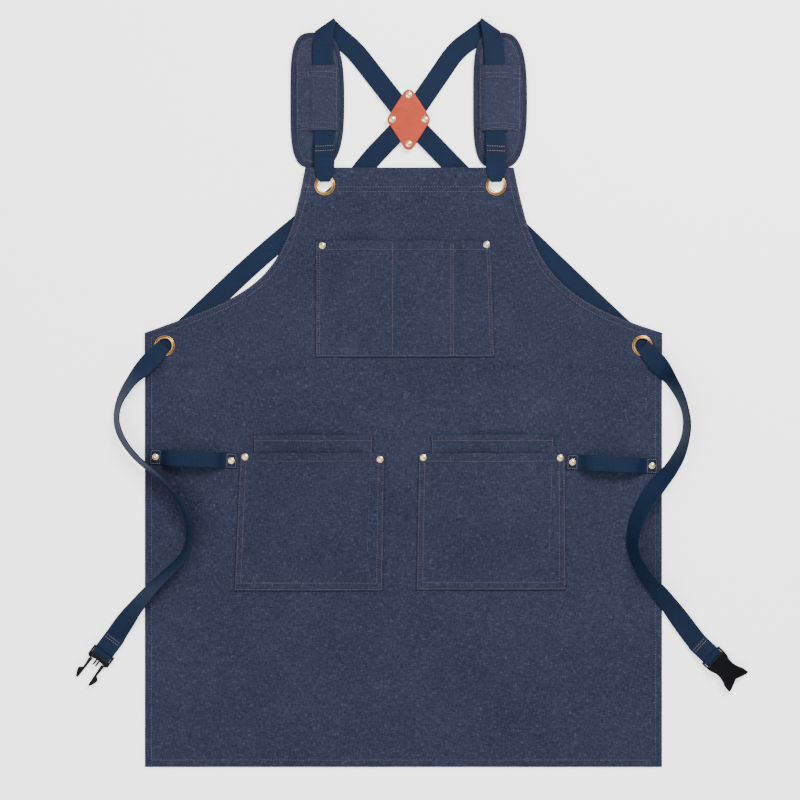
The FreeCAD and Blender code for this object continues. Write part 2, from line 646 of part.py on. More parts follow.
def make_pad(side, centre, turn, strap_x):
    """One pad: back cloth, foam, front cloth over the foam, edge binding, and strap sleeve."""
    tape = size("binding_thick")
    low = size("pad_floor")
    tip = centre.y - size("pad_half_length")
    rim = low + tape + 0.05
    slim, crown = size("pad_tip_top"), PAD_TOP
    foam_start, foam_full = tip + 22, tip + 44
    prism_top = 20.0

    def prism(part, inset):
        outline = feature(f"{side}_{part}_outline", pad_outline(centre, turn, inset))
        return extrusion(f"{side}_{part}_prism", outline, UP, prism_top)

    def layer(part, inset, profile_low, profile_high):
        corners = [Vector(centre.x - 60, along, height) for along, height in profile_low]
        corners += [Vector(centre.x - 60, along, height) for along, height in reversed(profile_high)]
        wire = Part.makePolygon(corners + corners[:1])
        band = extrusion(f"{side}_{part}_band", feature(f"{side}_{part}_profile", wire),
                         Vector(1, 0, 0), 120.0)
        return boolean("Common", f"{side}_{part}_layer", prism(part, inset), band)

    ends = (tip - 5, centre.y + size("pad_half_length") + 5)

    def flat(height):
        return [(ends[0], height), (LIFT_START, height), (LIFT_END, height + PAD_LIFT),
                (ends[1], height + PAD_LIFT)]

    def crowned(height, fall):
        return [(ends[0], slim - tape - fall), (foam_start, slim - tape - fall),
                (foam_full, height), (ends[1], height)]

    node(layer("pad_back", 0.6, flat(rim), flat(rim + LINING)), f"{side}_pad_back")
    rim_top = rim + LINING + 0.05
    foam_top = crown - LINING - 0.1
    foam_low = rim + LINING + 0.03
    foam = layer("pad_foam", 9.0, flat(foam_low),
                 [(ends[0], foam_low + 0.03), (foam_start, foam_low + 0.03),
                  (foam_full, foam_top), (ends[1], foam_top)])
    foam_cut = doc.addObject("Part::Box", f"{side}_foam_end")
    foam_cut.Length, foam_cut.Width, foam_cut.Height = 120, foam_start + 5 - ends[0], 20
    foam_cut.Placement = FreeCAD.Placement(Vector(centre.x - 60, ends[0], 0), FreeCAD.Rotation())
    node(boolean("Cut", f"{side}_foam_piece", foam, foam_cut), f"{side}_pad_foam")
    flange = layer("pad_flange", 0.6, flat(rim_top), flat(rim_top + LINING))
    dome = layer("pad_dome", 7.5, flat(rim_top), crowned(crown, 0.05))
    cavity = layer("pad_cavity", 8.3, flat(rim_top - 1), crowned(foam_top + 0.1, LINING + 0.1))
    shell = boolean("Fuse", f"{side}_pad_shell", flange, dome)
    node(boolean("Cut", f"{side}_front_cloth", shell, cavity), f"{side}_pad_front")
    tape_top = rim_top + LINING + 0.05 + tape
    outer = layer("binding_outer", 0.0, flat(low), flat(tape_top))
    window = layer("binding_window", size("binding_width"), flat(low - 1), flat(tape_top + 1))
    groove = layer("binding_groove", 0.55, flat(low + tape), flat(tape_top - tape))
    ring = boolean("Cut", f"{side}_binding_ring", outer, window)
    node(boolean("Cut", f"{side}_binding_tape", ring, groove), f"{side}_pad_binding")
    make_sleeve(side, centre, turn, strap_x)


def make_sleeve(side, centre, turn, strap_x):
    """The cloth sleeve on the pad's face: flat feet, and a bridge over the sliding webbing."""
    half = WEBBING_WIDTH / 2
    middle = strap_x - centre.x
    rest, lift = 0.1, WEBBING + 0.4 + 0.4
    under = [(-27.4, rest), (middle - half - 4.0, rest), (middle - half - 1.2, lift),
             (middle + half + 1.2, lift), (middle + half + 4.0, rest), (27.0, rest)]
    over = [(across, height + LINING) for across, height in under]
    body = padded_body(f"{side}_sleeve_cloth", "XZ_Plane", under + list(reversed(over)),
                       "sleeve_length", True)
    middle_along = centre.y + 2.2
    place = Vector(centre.x, middle_along, PAD_TOP)
    body.Placement = FreeCAD.Placement(place, FreeCAD.Rotation(UP, turn))
    node(body, f"{side}_pad_sleeve")


make_pad("left", Vector(-109.3, 371.3, 0), 0.0, -102.2)
make_pad("right", Vector(122.7, 371.3, 0), 0.0, 115.9)


# ---------------------------------------------------------------- buckles
def place_buckle(spot, heading):
    """A placement whose +Y is the way the buckle points and whose +Z is up."""
    angle = math.degrees(math.atan2(heading.y, heading.x)) - 90.0
    return FreeCAD.Placement(spot, FreeCAD.Rotation(UP, angle))


MALE_SPOT, MALE_HEADING = Vector(-380.0, -329.0, 0), Vector(-0.59, -0.807, 0)
FEMALE_SPOT, FEMALE_HEADING = Vector(390.0, -333.3, 0), Vector(0.727, -0.687, 0)
BAR = size("bar_level")
FRAME_LOW = BAR - size("buckle_thick") / 2


def webbing_bar(name):
    """The round bar that the webbing is wrapped around, across the buckle at its back."""
    bar = doc.addObject("Part::Cylinder", name)
    bind(bar, "Radius", "bar_radius")
    bind(bar, "Height", "buckle_width - 1")
    bar.Placement = FreeCAD.Placement(Vector(-(size("buckle_width") - 1) / 2, 0, BAR),
                                      FreeCAD.Rotation(Vector(0, 1, 0), 90))
    return bar


def box(name, low, high):
    """A plain block between two corners."""
    block = doc.addObject("Part::Box", name)
    block.Length, block.Width, block.Height = high.x - low.x, high.y - low.y, high.z - low.z
    block.Placement = FreeCAD.Placement(low, FreeCAD.Rotation())
    return block


def set_down(thing, placement):
    """Move a finished buckle piece from its own axes to its place on the ground."""
    thing.Placement = placement
    return thing


def make_male_buckle():
    """The male half: a slotted frame with two guide pins, and two springy hooked prongs."""
    half = "buckle_width / 2"
    frame = padded_body("male_frame", "XY_Plane", [
        (f"-{half}", -1.4), (half, -1.4), (half, 12.0), (f"{half} - 3.0", 14.4), (7.0, 13.2),
        (2.9, 12.2), (2.9, 19.5), (1.5, 20.5), (0.9, 19.5), (0.9, 12.0), (-0.9, 12.0),
        (-0.9, 19.5), (-1.5, 20.5), (-2.9, 19.5), (-2.9, 12.2), (-7.0, 13.2),
        (f"-{half} + 3.0", 14.4), (f"-{half}", 12.0)], "buckle_thick")
    frame.Placement = FreeCAD.Placement(Vector(0, 0, FRAME_LOW), FreeCAD.Rotation())
    slot = box("male_slot", Vector(-13.1, -4.0, 0), Vector(13.1, 7.6, 12))
    slotted = boolean("Cut", "male_slotted", frame, slot)
    whole = boolean("Fuse", "male_whole", slotted, webbing_bar("male_bar"))
    place = place_buckle(MALE_SPOT, MALE_HEADING)
    node(set_down(whole, place), "male_buckle_body")
    for side, sign in (("left", -1), ("right", 1)):
        profile = [(6.9, 14.7), (11.4, 14.7), (10.6, 30.0), (15.0, 33.5), (14.6, 37.0),
                   (11.0, "14.5 + prong_length"), (8.2, "14.5 + prong_length"), (7.6, 30.0)]
        mirrored = [(sign * across, along) for across, along in profile]
        prong = padded_body(f"male_{side}_prong_bar", "XY_Plane", mirrored, "prong_thick")
        lifted = Vector(0, 0, BAR - size("prong_thick") / 2)
        prong.Placement = place.multiply(FreeCAD.Placement(lifted, FreeCAD.Rotation()))
        node(prong, f"male_buckle_{side}_prong")


def make_female_buckle():
    """The female half: a hollow socket with side windows for the hooks and a notched mouth."""
    half = "buckle_width / 2"
    tip = "socket_length"
    shell = padded_body("female_shell", "XY_Plane", [
        (f"-{half}", 8.0), (half, 8.0), (14.6, 13.0), (12.6, 19.0), (12.2, 26.0), (13.6, 33.0),
        (16.6, 40.0), (17.6, tip), (13.0, f"{tip} - 0.5"), (0, f"{tip} - 5.5"),
        (-13.0, f"{tip} - 0.5"), (-17.6, tip), (-16.6, 40.0), (-13.6, 33.0), (-12.2, 26.0),
        (-12.6, 19.0), (-14.6, 13.0)], "socket_thick")
    shell.Placement = FreeCAD.Placement(Vector(0, 0, 0.3), FreeCAD.Rotation())
    middle = 0.3 + size("socket_thick") / 2
    socket = box("female_socket", Vector(-10.8, 17.0, middle - 2.4), Vector(10.8, 60, middle + 2.4))
    mouth = box("female_mouth", Vector(-15.6, 36.0, middle - 2.4), Vector(15.6, 60, middle + 2.4))
    cavity = boolean("Fuse", "female_cavity", socket, mouth)
    hollow = boolean("Cut", "female_hollow", shell, cavity)
    rear = padded_body("female_rear", "XY_Plane", [
        (f"-{half}", -1.4), (half, -1.4), (half, 8.6), (f"-{half}", 8.6)], "buckle_thick")
    rear.Placement = FreeCAD.Placement(Vector(0, 0, FRAME_LOW), FreeCAD.Rotation())
    slot = box("female_slot", Vector(-13.1, -4.0, 0), Vector(13.1, 7.6, 12))
    frame = boolean("Fuse", "female_frame", boolean("Cut", "female_slotted", rear, slot),
                    webbing_bar("female_bar"))
    whole = boolean("Fuse", "female_whole", hollow, frame)
    node(set_down(whole, place_buckle(FEMALE_SPOT, FEMALE_HEADING)), "female_buckle_body")


make_male_buckle()
make_female_buckle()

# ---------------------------------------------------------------- waist ties
# Routes of the free webbing from each side eyelet to its buckle: (place, roll in degrees).
# A roll of 0 lies flat and 90 stands on edge, as webbing does where it bends sideways.
LEFT_TIE = [
    ((-303.0, 60.0, 5.9), 0), ((-321.0, 40.0, 7.4), 14), ((-346.0, 14.0, 12.2), 62),
    ((-363.0, -18.0, 13.4), 80), ((-362.0, -48.0, 13.2), 72), ((-341.0, -80.0, 14.4), 80),
    ((-308.0, -106.0, 14.6), 90), ((-281.0, -136.0, 14.6), 98), ((-267.0, -172.0, 14.2), 108),
    ((-274.0, -206.0, 14.6), 98), ((-305.0, -234.0, 14.2), 76), ((-335.0, -266.0, 12.4), 52),
    ((-358.0, -297.0, 5.4), 12)]
RIGHT_TIE = [
    ((303.0, 60.0, 5.9), 0), ((318.0, 42.0, 7.4), 14), ((341.0, 14.0, 12.4), 62),
    ((357.0, -20.0, 13.6), 96), ((359.0, -52.0, 13.4), 107), ((344.0, -90.0, 13.4), 116),
    ((314.0, -125.0, 9.6), 148), ((294.0, -160.0, 11.2), 136), ((287.0, -198.0, 14.8), 94),
    ((305.0, -232.0, 12.6), 54), ((332.0, -262.0, 10.4), 36), ((359.0, -299.0, 4.9), 8)]
TIE_ROOT = 1.2                   # past the eyelet's centre, where the strap comes up


def rounded_route(route):
    """Straight runs joined by tangent arcs, each as large as its two runs allow.

    Returns stations (place, roll) along the path and the arcs' radii.
    """
    places = [Vector(*place) for place, roll in route]
    rolls = [roll for place, roll in route]
    stations, radii = [(places[0], rolls[0])], []
    for index in range(1, len(places) - 1):
        here = places[index]
        back, ahead = places[index - 1] - here, places[index + 1] - here
        reach = 0.45 * min(back.Length, ahead.Length)
        shares = (reach / back.Length, reach / ahead.Length)
        half_turn = (math.pi - back.getAngle(ahead)) / 2
        radii.append(reach / math.tan(half_turn))
        start, end = here + back * shares[0], here + ahead * shares[1]
        bow = (back.normalize() + ahead.normalize()).normalize()
        middle = here + bow * (radii[-1] * (1 / math.cos(half_turn) - 1))
        stations.append((start, rolls[index] + (rolls[index - 1] - rolls[index]) * shares[0]))
        stations.append((middle, rolls[index]))
        stations.append((end, rolls[index] + (rolls[index + 1] - rolls[index]) * shares[1]))
    stations.append((places[-1], rolls[-1]))
    return stations, radii


def make_tie(label, route, spot, heading):
    """One waist tie: along its route, then flat round the buckle's bar and back under itself."""
    stations, radii = rounded_route(route)
    length = sum((after[0] - before[0]).Length for before, after in zip(stations, stations[1:]))
    band = []
    for index, (place, roll) in enumerate(stations):
        before = stations[max(index - 1, 0)][0]
        after = stations[min(index + 1, len(stations) - 1)][0]
        level = plan_across(after - before)
        lean = math.radians(roll)
        width = WEBBING_WIDTH if index else NECK_WIDTH + 4
        band.append((place, level * math.cos(lean) + UP * math.sin(lean), width))
    across = plan_across(heading)
    forward = Vector(heading).normalize()
    turn = size("bar_radius") + 0.3 + WEBBING / 2
    ends = [(-22.0, 2.9), (-12.0, 3.6), (-5.0, BAR + turn - 0.6)]
    for step in range(7):
        angle = math.radians(90 - 30 * step)
        ends.append((turn * math.cos(angle), BAR + turn * math.sin(angle)))
    ends += [(-6.0, GROUND_LEVEL), (-27.0, GROUND_LEVEL)]
    band += [(spot + forward * along + Vector(0, 0, height), across, WEBBING_WIDTH)
             for along, height in ends]
    solid = ribbon(band)
    made = sum((after[0] - before[0]).Length for before, after in zip(band, band[1:]))
    print(f"{label}: free length {length:.0f}, whole length {made:.0f}, "
          f"volume over section {solid.Volume / (WEBBING * WEBBING_WIDTH):.0f}, "
          f"arc radii {[round(radius) for radius in radii]}")
    node(feature(label, solid), label)


make_tie("left_waist_tie", LEFT_TIE, MALE_SPOT, MALE_HEADING)
make_tie("right_waist_tie", RIGHT_TIE, FEMALE_SPOT, FEMALE_HEADING)

# ---------------------------------------------------------------- check and write
doc.recompute()
for thing in doc.Objects:
    if "Invalid" in thing.State or "Error" in thing.State:
        raise RuntimeError(f"{thing.Label} failed: {thing.State}")
for piece in NODES:
    if piece.Shape.isNull() or not piece.Shape.isValid() or not piece.Shape.Solids:
        raise RuntimeError(f"{piece.Label} has no valid solid")

os.makedirs("parts", exist_ok=True)
for piece in NODES:
    piece.Shape.exportStep(f"parts/{piece.Label}.step")
    print(f"{piece.Label}: {len(piece.Shape.Solids)} solid(s), {piece.Shape.Volume:.0f} mm3")
print(f"{len(NODES)} nodes written")
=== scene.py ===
"""Looks of the cross-back work apron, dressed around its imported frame.

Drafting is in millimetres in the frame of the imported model, and meshes are made in metres.
"""

import logging
import math
from dataclasses import dataclass, field
from enum import Enum
from typing import Any, Callable, Dict, List, Optional, Sequence, Tuple

import bmesh
import bpy
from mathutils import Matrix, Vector, noise


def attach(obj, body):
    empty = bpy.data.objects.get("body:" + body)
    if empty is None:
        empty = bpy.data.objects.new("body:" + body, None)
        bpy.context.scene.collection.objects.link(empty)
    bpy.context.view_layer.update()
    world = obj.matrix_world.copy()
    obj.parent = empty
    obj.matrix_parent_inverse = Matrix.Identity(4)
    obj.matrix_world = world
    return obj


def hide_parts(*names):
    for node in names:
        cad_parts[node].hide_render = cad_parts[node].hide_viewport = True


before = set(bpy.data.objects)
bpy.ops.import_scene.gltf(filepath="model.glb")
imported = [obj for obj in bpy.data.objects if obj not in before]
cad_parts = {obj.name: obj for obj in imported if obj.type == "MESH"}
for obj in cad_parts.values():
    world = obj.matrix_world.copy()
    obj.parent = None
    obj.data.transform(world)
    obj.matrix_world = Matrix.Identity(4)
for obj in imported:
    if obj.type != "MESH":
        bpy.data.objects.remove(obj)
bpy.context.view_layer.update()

MM = 0.001
CANVAS = 1.0                    # body and pocket cloth
LINING = 0.6                    # pad cloth
WEBBING = 1.4                   # webbing, through
WEBBING_WIDTH = 25.4
GAP = 0.1                       # between stacked cloths
SIDE_LIFT, BIB_LIFT = 2.6, 5.2  # underside of the body over the straps
PAD_CROWN = 6.3
STRAP_LEVEL = PAD_CROWN + 0.4 + WEBBING / 2   # middle of the webbing over a pad
GROUND_LEVEL = 0.2 + WEBBING / 2              # and of the webbing on the floor
TURNED = 0.62                   # how far a turned hem stands above single cloth
CAP_PRESS = 0.05                # how far a rivet cap is pressed into its cloth
GROOVE, GROOVE_WIDTH = 0.16, 0.8        # dent along a seam

BIB_EYELETS = ((-99.6, 263.3), (117.3, 263.1))
SIDE_EYELETS = ((-303.0, 60.0), (303.0, 60.0))
EYELET_HOLE = 11.2
PATCH = (6.7, 346.3)

Colour = Tuple[float, float, float, float]
Spot = Tuple[float, float]
Height = Callable[[float, float], float]
LOG = logging.getLogger("apron")
UP = Vector((0, 0, 1))


def srgb(red: float, green: float, blue: float) -> Colour:
    """Turn an 8-bit display colour into a linear one."""
    def linear(value: float) -> float:
        """One channel."""
        share = value / 255.0
        return share / 12.92 if share <= 0.04045 else ((share + 0.055) / 1.055) ** 2.4
    return linear(red), linear(green), linear(blue), 1.0


def plan(x: float, y: float) -> Vector:
    """A place on the floor."""
    return Vector((x, y, 0))


def ease(start: float, end: float, value: float) -> float:
    """A smooth 0 to 1 as value goes from start to end."""
    share = min(max((value - start) / (end - start), 0.0), 1.0)
    return share * share * (3.0 - 2.0 * share)


def rumple(x: float, y: float, scale: float, layer: float = 0.0) -> float:
    """Smooth unevenness from -1 to 1, whose swells are about scale across."""
    return noise.noise(Vector((x / scale, y / scale, layer)))


def ridge(value: float, middle: float, width: float) -> float:
    """1 at the middle, falling smoothly to 0 about width away."""
    return math.exp(-((value - middle) / width) ** 2)


def eased_edge(gap: float, radius: float) -> float:
    """1 at a cloth's edge, falling to 0 a radius in from it."""
    return (1 - min(max(gap, 0.0) / radius, 1.0)) ** 2


class Body(Enum):
    """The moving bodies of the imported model."""
    APRON = "apron"
    LEFT_PAD = "left_pad"
    RIGHT_PAD = "right_pad"
    MALE_BUCKLE = "male_buckle"
    LEFT_PRONG = "left_prong"
    RIGHT_PRONG = "right_prong"
    FEMALE_BUCKLE = "female_buckle"


class Side(Enum):
    """Left and right as the laid-out apron is seen."""
    LEFT = -1
    RIGHT = 1

    @property
    def word(self) -> str:
        """The side's name, as the nodes spell it."""
        return self.name.lower()


def around(height: Height, x: float, y: float, radius: float) -> float:
    """The mean height at four places round a point."""
    quarters = [math.pi / 2 * quarter for quarter in range(4)]
    return sum(height(x + radius * math.cos(turn), y + radius * math.sin(turn))
               for turn in quarters) / 4


# ------------------------------------------------------------------------------ shader writing
class Value:
    """A shader socket that can be used in Python expressions."""

    def __init__(self, recipe: "Recipe", socket: Any) -> None:
        """Wrap a socket of one recipe's tree."""
        self.recipe = recipe
        self.socket = socket

    def _math(self, operation: str, first: Any, second: Any = None) -> "Value":
        """Add one Math node.

        Args:
            operation: the node's operation.
            first: a Value or a number.
            second: a Value, a number, or None where the operation takes one.
        Returns:
            The node's result.
        """
        values = {0: first} if second is None else {0: first, 1: second}
        return self.recipe.add("ShaderNodeMath", {"operation": operation}, values)

    def __add__(self, other: Any) -> "Value":
        """self + other."""
        return self._math("ADD", self, other)

    __radd__ = __add__

    def __sub__(self, other: Any) -> "Value":
        """self - other."""
        return self._math("SUBTRACT", self, other)

    def __rsub__(self, other: Any) -> "Value":
        """other - self."""
        return self._math("SUBTRACT", other, self)

    def __mul__(self, other: Any) -> "Value":
        """self * other."""
        return self._math("MULTIPLY", self, other)

    __rmul__ = __mul__

    def __truediv__(self, other: Any) -> "Value":
        """self / other."""
        return self._math("DIVIDE", self, other)

    def sine(self) -> "Value":
        """The sine of self."""
        return self._math("SINE", self)

    def size(self) -> "Value":
        """self without its sign."""
        return self._math("ABSOLUTE", self)

    def above(self, other: Any) -> "Value":
        """The larger of self and other."""
        return self._math("MAXIMUM", self, other)

    def clamp(self) -> "Value":
        """self held between 0 and 1."""
        return self._math("MINIMUM", self._math("MAXIMUM", self, 0.0), 1.0)

    def between(self, low: float, high: float) -> "Value":
        """0 at low and 1 at high, straight and held between."""
        return ((self - low) / (high - low)).clamp()


class Recipe:
    """One material under construction, on a Principled shader."""

    def __init__(self, name: str) -> None:
        """Start a material with the given name."""
        self.material = bpy.data.materials.new(name)
        self.material.use_nodes = True
        self.tree = self.material.node_tree
        self.shader = self.tree.nodes["Principled BSDF"]

    def add(self, kind: str, settings: Optional[Dict[str, Any]] = None,
            sockets: Optional[Dict[Any, Any]] = None, out: Any = 0) -> Value:
        """Add one node.

        Args:
            kind: the node's type.
            settings: what is set on the node before its inputs are fed.
            sockets: numbers, colours or Values for its inputs, by name or place.
            out: which of its outputs is wanted.
        Returns:
            The wanted output.
        """
        node = self.tree.nodes.new(kind)
        for name, setting in (settings or {}).items():
            setattr(node, name, setting)
        for name, given in (sockets or {}).items():
            self.feed(node.inputs[name], given)
        return Value(self, node.outputs[out])

    def feed(self, socket: Any, given: Any) -> None:
        """Set a socket to a number or colour, or link a Value to it."""
        if isinstance(given, Value):
            self.tree.links.new(given.socket, socket)
        else:
            socket.default_value = given

    def place(self, stretch: Sequence[float] = (1.0, 1.0, 1.0), turn: float = 0.0) -> Value:
        """Places on the object, stretched and turned about Z by degrees."""
        spots = self.add("ShaderNodeTexCoord", out="Object")
        return self.add("ShaderNodeMapping", {}, {
            "Vector": spots, "Scale": tuple(stretch), "Rotation": (0, 0, math.radians(turn))})

    def split(self, spots: Value) -> Tuple[Value, Value]:
        """The x and the y of places."""
        across = self.add("ShaderNodeSeparateXYZ", {}, {0: spots})
        return across, Value(self, across.socket.node.outputs[1])

    def cloud(self, spots: Value, scale: float, detail: float = 2.0, rough: float = 0.5) -> Value:
        """Noise of 0 to 1 over places, in cycles per metre."""
        return self.add("ShaderNodeTexNoise", {"noise_dimensions": "3D"}, {
            "Vector": spots, "Scale": scale, "Detail": detail, "Roughness": rough})

    def mix(self, share: Any, first: Any, second: Any) -> Value:
        """A colour between first and second."""
        return self.add("ShaderNodeMix", {"data_type": "RGBA", "blend_type": "MIX"},
                        {0: share, 6: first, 7: second}, out=2)

    def worn_edge(self, low: float, high: float) -> Value:
        """0 in hollows and 1 on sharp edges, as wear finds them."""
        return self.add("ShaderNodeNewGeometry", out="Pointiness").between(low, high)

    def bump(self, height: Value, distance: float, strength: float = 1.0) -> Value:
        """A normal from a height of 0 to 1 that stands distance metres tall."""
        return self.add("ShaderNodeBump", {}, {
            "Height": height, "Distance": distance, "Strength": strength})

    def done(self, **sockets: Any) -> bpy.types.Material:
        """Feed the Principled shader and hand over the material.

        Args:
            sockets: what goes to its sockets, with _ for spaces in their names.
        Returns:
            The finished material.
        """
        for name, given in sockets.items():
            self.feed(self.shader.inputs[name.replace("_", " ")], given)
        return self.material


# ------------------------------------------------------------------------------ finishes
@dataclass(frozen=True)
class CanvasFinish:
    """Washed indigo canvas: a plain weave of slubby threads with pale flecks."""
    name: str
    yarn: Colour
    flecks: Colour
    shade: Colour
    pitch: float = 1050.0       # threads per metre
    slub: float = 1.0           # how strongly single threads stand out

    def material(self) -> bpy.types.Material:
        """Build the canvas."""
        make = Recipe(self.name)
        warp = make.cloud(make.place((1.0, 0.34, 0.4)), 560.0, 1.5, 0.6)
        weft = make.cloud(make.place((0.34, 1.0, 0.4)), 560.0, 1.5, 0.6)
        grain = make.cloud(make.place(), 520.0, 3.0, 0.7)
        patch = make.cloud(make.place(), 9.0, 3.0, 0.55)
        crease = make.cloud(make.place((1.0, 0.55, 1.0), 28.0), 26.0, 3.0, 0.6)
        worn = 1.0 - ((crease - 0.5).size() * 26.0).clamp()
        threads = (warp - 0.5) * 0.62 + (weft - 0.5) * 0.62 + (grain - 0.5) * 1.0
        light = (threads * (1.15 * self.slub) + 0.47 + (patch - 0.5) * 0.42
                 + worn * (patch - 0.38).above(0.0) * 0.45).clamp()
        colour = make.mix(light, self.shade, self.yarn)
        fleck = (warp * weft * 4.0 - 1.3).above(0.0) * 0.45
        colour = make.mix(fleck.clamp(), colour, self.flecks)
        cross, along = make.split(make.place())
        turns = 2.0 * math.pi * self.pitch
        weave = (cross * turns).sine() * (along * turns).sine() * 0.5 + 0.5
        height = weave * 0.45 + (warp + weft) * 0.35 + grain * 0.2
        return make.done(Base_Color=colour, Roughness=0.88 + (grain - 0.5) * 0.14,
                         Specular_IOR_Level=0.1, Normal=make.bump(height, 0.00042, 0.75))


@dataclass(frozen=True)
class WebbingFinish:
    """Ribbed navy webbing: cross picks that dip between lengthwise wales, from its own UV, with
    painted shade in the low places of the weave.
    """
    name: str
    thread: Colour
    # groove is the painted shade colour of the weave's low places
    groove: Colour
    ribs: float = 11.0          # wales across the ribbon
    picks: float = 640.0        # per metre

    def material(self) -> bpy.types.Material:
        """Build the webbing."""
        make = Recipe(self.name)
        across, along = make.split(make.add("ShaderNodeUVMap", {"uv_map": "weave"}))
        wale = (across * (math.pi * self.ribs)).sine()
        pick = (along * (2.0 * math.pi * self.picks) + wale.size() * 1.6).sine() * 0.5 + 0.5
        fine = make.cloud(make.place(), 1500.0, 1.0, 0.5)
        patch = make.cloud(make.place(), 38.0, 2.0, 0.5)
        height = wale.size() * 0.3 + pick * 0.5 + fine * 0.25
        # painted shade: the colour falls to the groove colour where the weave's height is low
        light = (height * 1.7 - 0.42 + (patch - 0.5) * 0.5).clamp()
        colour = make.mix(light, self.groove, self.thread)
        return make.done(Base_Color=colour, Roughness=0.72 + (fine - 0.5) * 0.2,
                         Specular_IOR_Level=0.16, Normal=make.bump(height, 0.0004, 0.8))


@dataclass(frozen=True)
class LeatherFinish:
    """Smooth tan leather with fine pores, cloudy dye and burnished edges."""
    name: str
    face: Colour
    deep: Colour

    def material(self) -> bpy.types.Material:
        """Build the leather."""
        make = Recipe(self.name)
        pores = make.add("ShaderNodeTexVoronoi", {"feature": "DISTANCE_TO_EDGE"},
                         {"Vector": make.place(), "Scale": 900.0})
        dye = make.cloud(make.place(), 55.0, 4.0, 0.6)
        grain = make.cloud(make.place(), 420.0, 3.0, 0.6)
        light = (dye * 1.1 - 0.05 + (grain - 0.5) * 0.35).clamp()
        colour = make.mix(light, self.deep, self.face)
        colour = make.mix(make.worn_edge(0.53, 0.62) * 0.55, colour, self.deep)
        height = pores.between(0.0, 0.25) * 0.5 + grain * 0.5
        return make.done(Base_Color=colour, Roughness=0.42 + (grain - 0.5) * 0.25,
                         Specular_IOR_Level=0.22, Normal=make.bump(height, 0.00022, 0.6))


@dataclass(frozen=True)
class MetalFinish:
    """Antique brass: bright where it is rubbed and dark in its recesses."""
    name: str
    bright: Colour
    tarnish: Colour
    rubbed: float = 0.5         # how much of the metal is bright

    def material(self) -> bpy.types.Material:
        """Build the metal."""
        make = Recipe(self.name)
        spots = make.place()
        stain = make.cloud(spots, 420.0, 4.0, 0.62)
        scratch = make.cloud(make.place((1.0, 0.12, 1.0), 33.0), 2600.0, 2.0, 0.6)
        edge = make.worn_edge(0.47, 0.55)
        light = (stain * 1.2 + edge * 1.4 - 1.3 + self.rubbed).clamp()
        colour = make.mix(light, self.tarnish, self.bright)
        return make.done(Base_Color=colour, Metallic=0.96,
                         Roughness=0.40 - light * 0.16 + (scratch - 0.5) * 0.12,
                         Normal=make.bump(scratch * 0.5 + stain * 0.5, 0.00003, 0.5))


@dataclass(frozen=True)
class MouldedFinish:
    """Black moulded plastic with a fine spark-eroded skin and rubbed edges."""
    name: str
    colour: Colour
    rubbed: Colour

    def material(self) -> bpy.types.Material:
        """Build the plastic."""
        make = Recipe(self.name)
        skin = make.cloud(make.place(), 3000.0, 2.0, 0.6)
        haze = make.cloud(make.place(), 160.0, 3.0, 0.6)
        edge = make.worn_edge(0.52, 0.60)
        colour = make.mix((haze * 0.5 + edge * 0.5 - 0.12).clamp(), self.colour, self.rubbed)
        return make.done(Base_Color=colour, Roughness=0.36 + haze * 0.16 - edge * 0.1,
                         Specular_IOR_Level=0.08, Normal=make.bump(skin, 0.00003, 0.4))


@dataclass(frozen=True)
class ThreadFinish:
    """Twisted sewing thread, with its plies crossing the stitch."""
    name: str
    light: Colour
    dark: Colour

    def material(self) -> bpy.types.Material:
        """Build the thread."""
        make = Recipe(self.name)
        ply = make.cloud(make.place((1.0, 1.0, 1.0), 45.0), 1900.0, 1.0, 0.5)
        fade = make.cloud(make.place(), 14.0, 2.0, 0.5)
        colour = make.mix((ply * 0.8 + fade * 0.9 - 0.35).clamp(), self.dark, self.light)
        return make.done(Base_Color=colour, Roughness=0.7, Specular_IOR_Level=0.25,
                         Normal=make.bump(ply, 0.0001, 0.5))


@dataclass(frozen=True)
class FloorFinish:
    """A plain pale sweep with a breath of unevenness."""
    name: str
    colour: Colour

    def material(self) -> bpy.types.Material:
        """Build the floor."""
        make = Recipe(self.name)
        cloud = make.cloud(make.place(), 3.0, 2.0, 0.5)
        low = tuple(channel * 0.985 for channel in self.colour[:3]) + (1.0,)
        return make.done(Base_Color=make.mix(cloud, low, self.colour), Roughness=0.9,
                         Specular_IOR_Level=0.1, Emission_Color=(1.0, 1.0, 1.0, 1.0),
                         Emission_Strength=1.1)


class Palette:
    """Every finish, each built once."""

    def __init__(self) -> None:
        """Build the materials."""
        fleck, yarn, shade = srgb(76, 80, 98), srgb(46, 49, 67), srgb(21, 24, 40)
        self.body = CanvasFinish("body_canvas", yarn, fleck, shade, slub=1.2).material()
        self.pocket = CanvasFinish("pocket_canvas", yarn, fleck, shade, slub=1.2).material()
        self.pad = CanvasFinish("pad_canvas", srgb(48, 51, 69), fleck, srgb(25, 28, 43)).material()
        self.binding = CanvasFinish("pad_binding", srgb(43, 47, 63), srgb(62, 67, 84),
                                    srgb(22, 25, 39), 1500.0, 0.8).material()
        # the webbing's second colour is painted shade for the low places of its weave
        self.webbing = WebbingFinish("webbing", srgb(4, 27, 55), srgb(0, 8, 22)).material()
        self.leather = LeatherFinish("patch_leather", srgb(174, 60, 28),
                                     srgb(138, 40, 18)).material()
        self.brass = MetalFinish("antique_brass", srgb(206, 158, 90), srgb(62, 42, 20),
                                 0.36).material()
        self.cap = MetalFinish("rivet_brass", srgb(244, 220, 172), srgb(120, 90, 50),
                               0.8).material()
        self.plastic = MouldedFinish("black_acetal", srgb(4, 4, 5), srgb(16, 16, 18)).material()
        self.thread = ThreadFinish("copper_thread", srgb(100, 84, 86), srgb(50, 44, 54)).material()
        self.contrast = ThreadFinish("webbing_thread", srgb(150, 122, 112),
                                     srgb(88, 68, 66)).material()
        self.overlock = ThreadFinish("overlock_thread", srgb(28, 33, 50),
                                     srgb(12, 15, 27)).material()
        self.floor = FloorFinish("floor", (0.93, 0.93, 0.93, 1.0)).material()


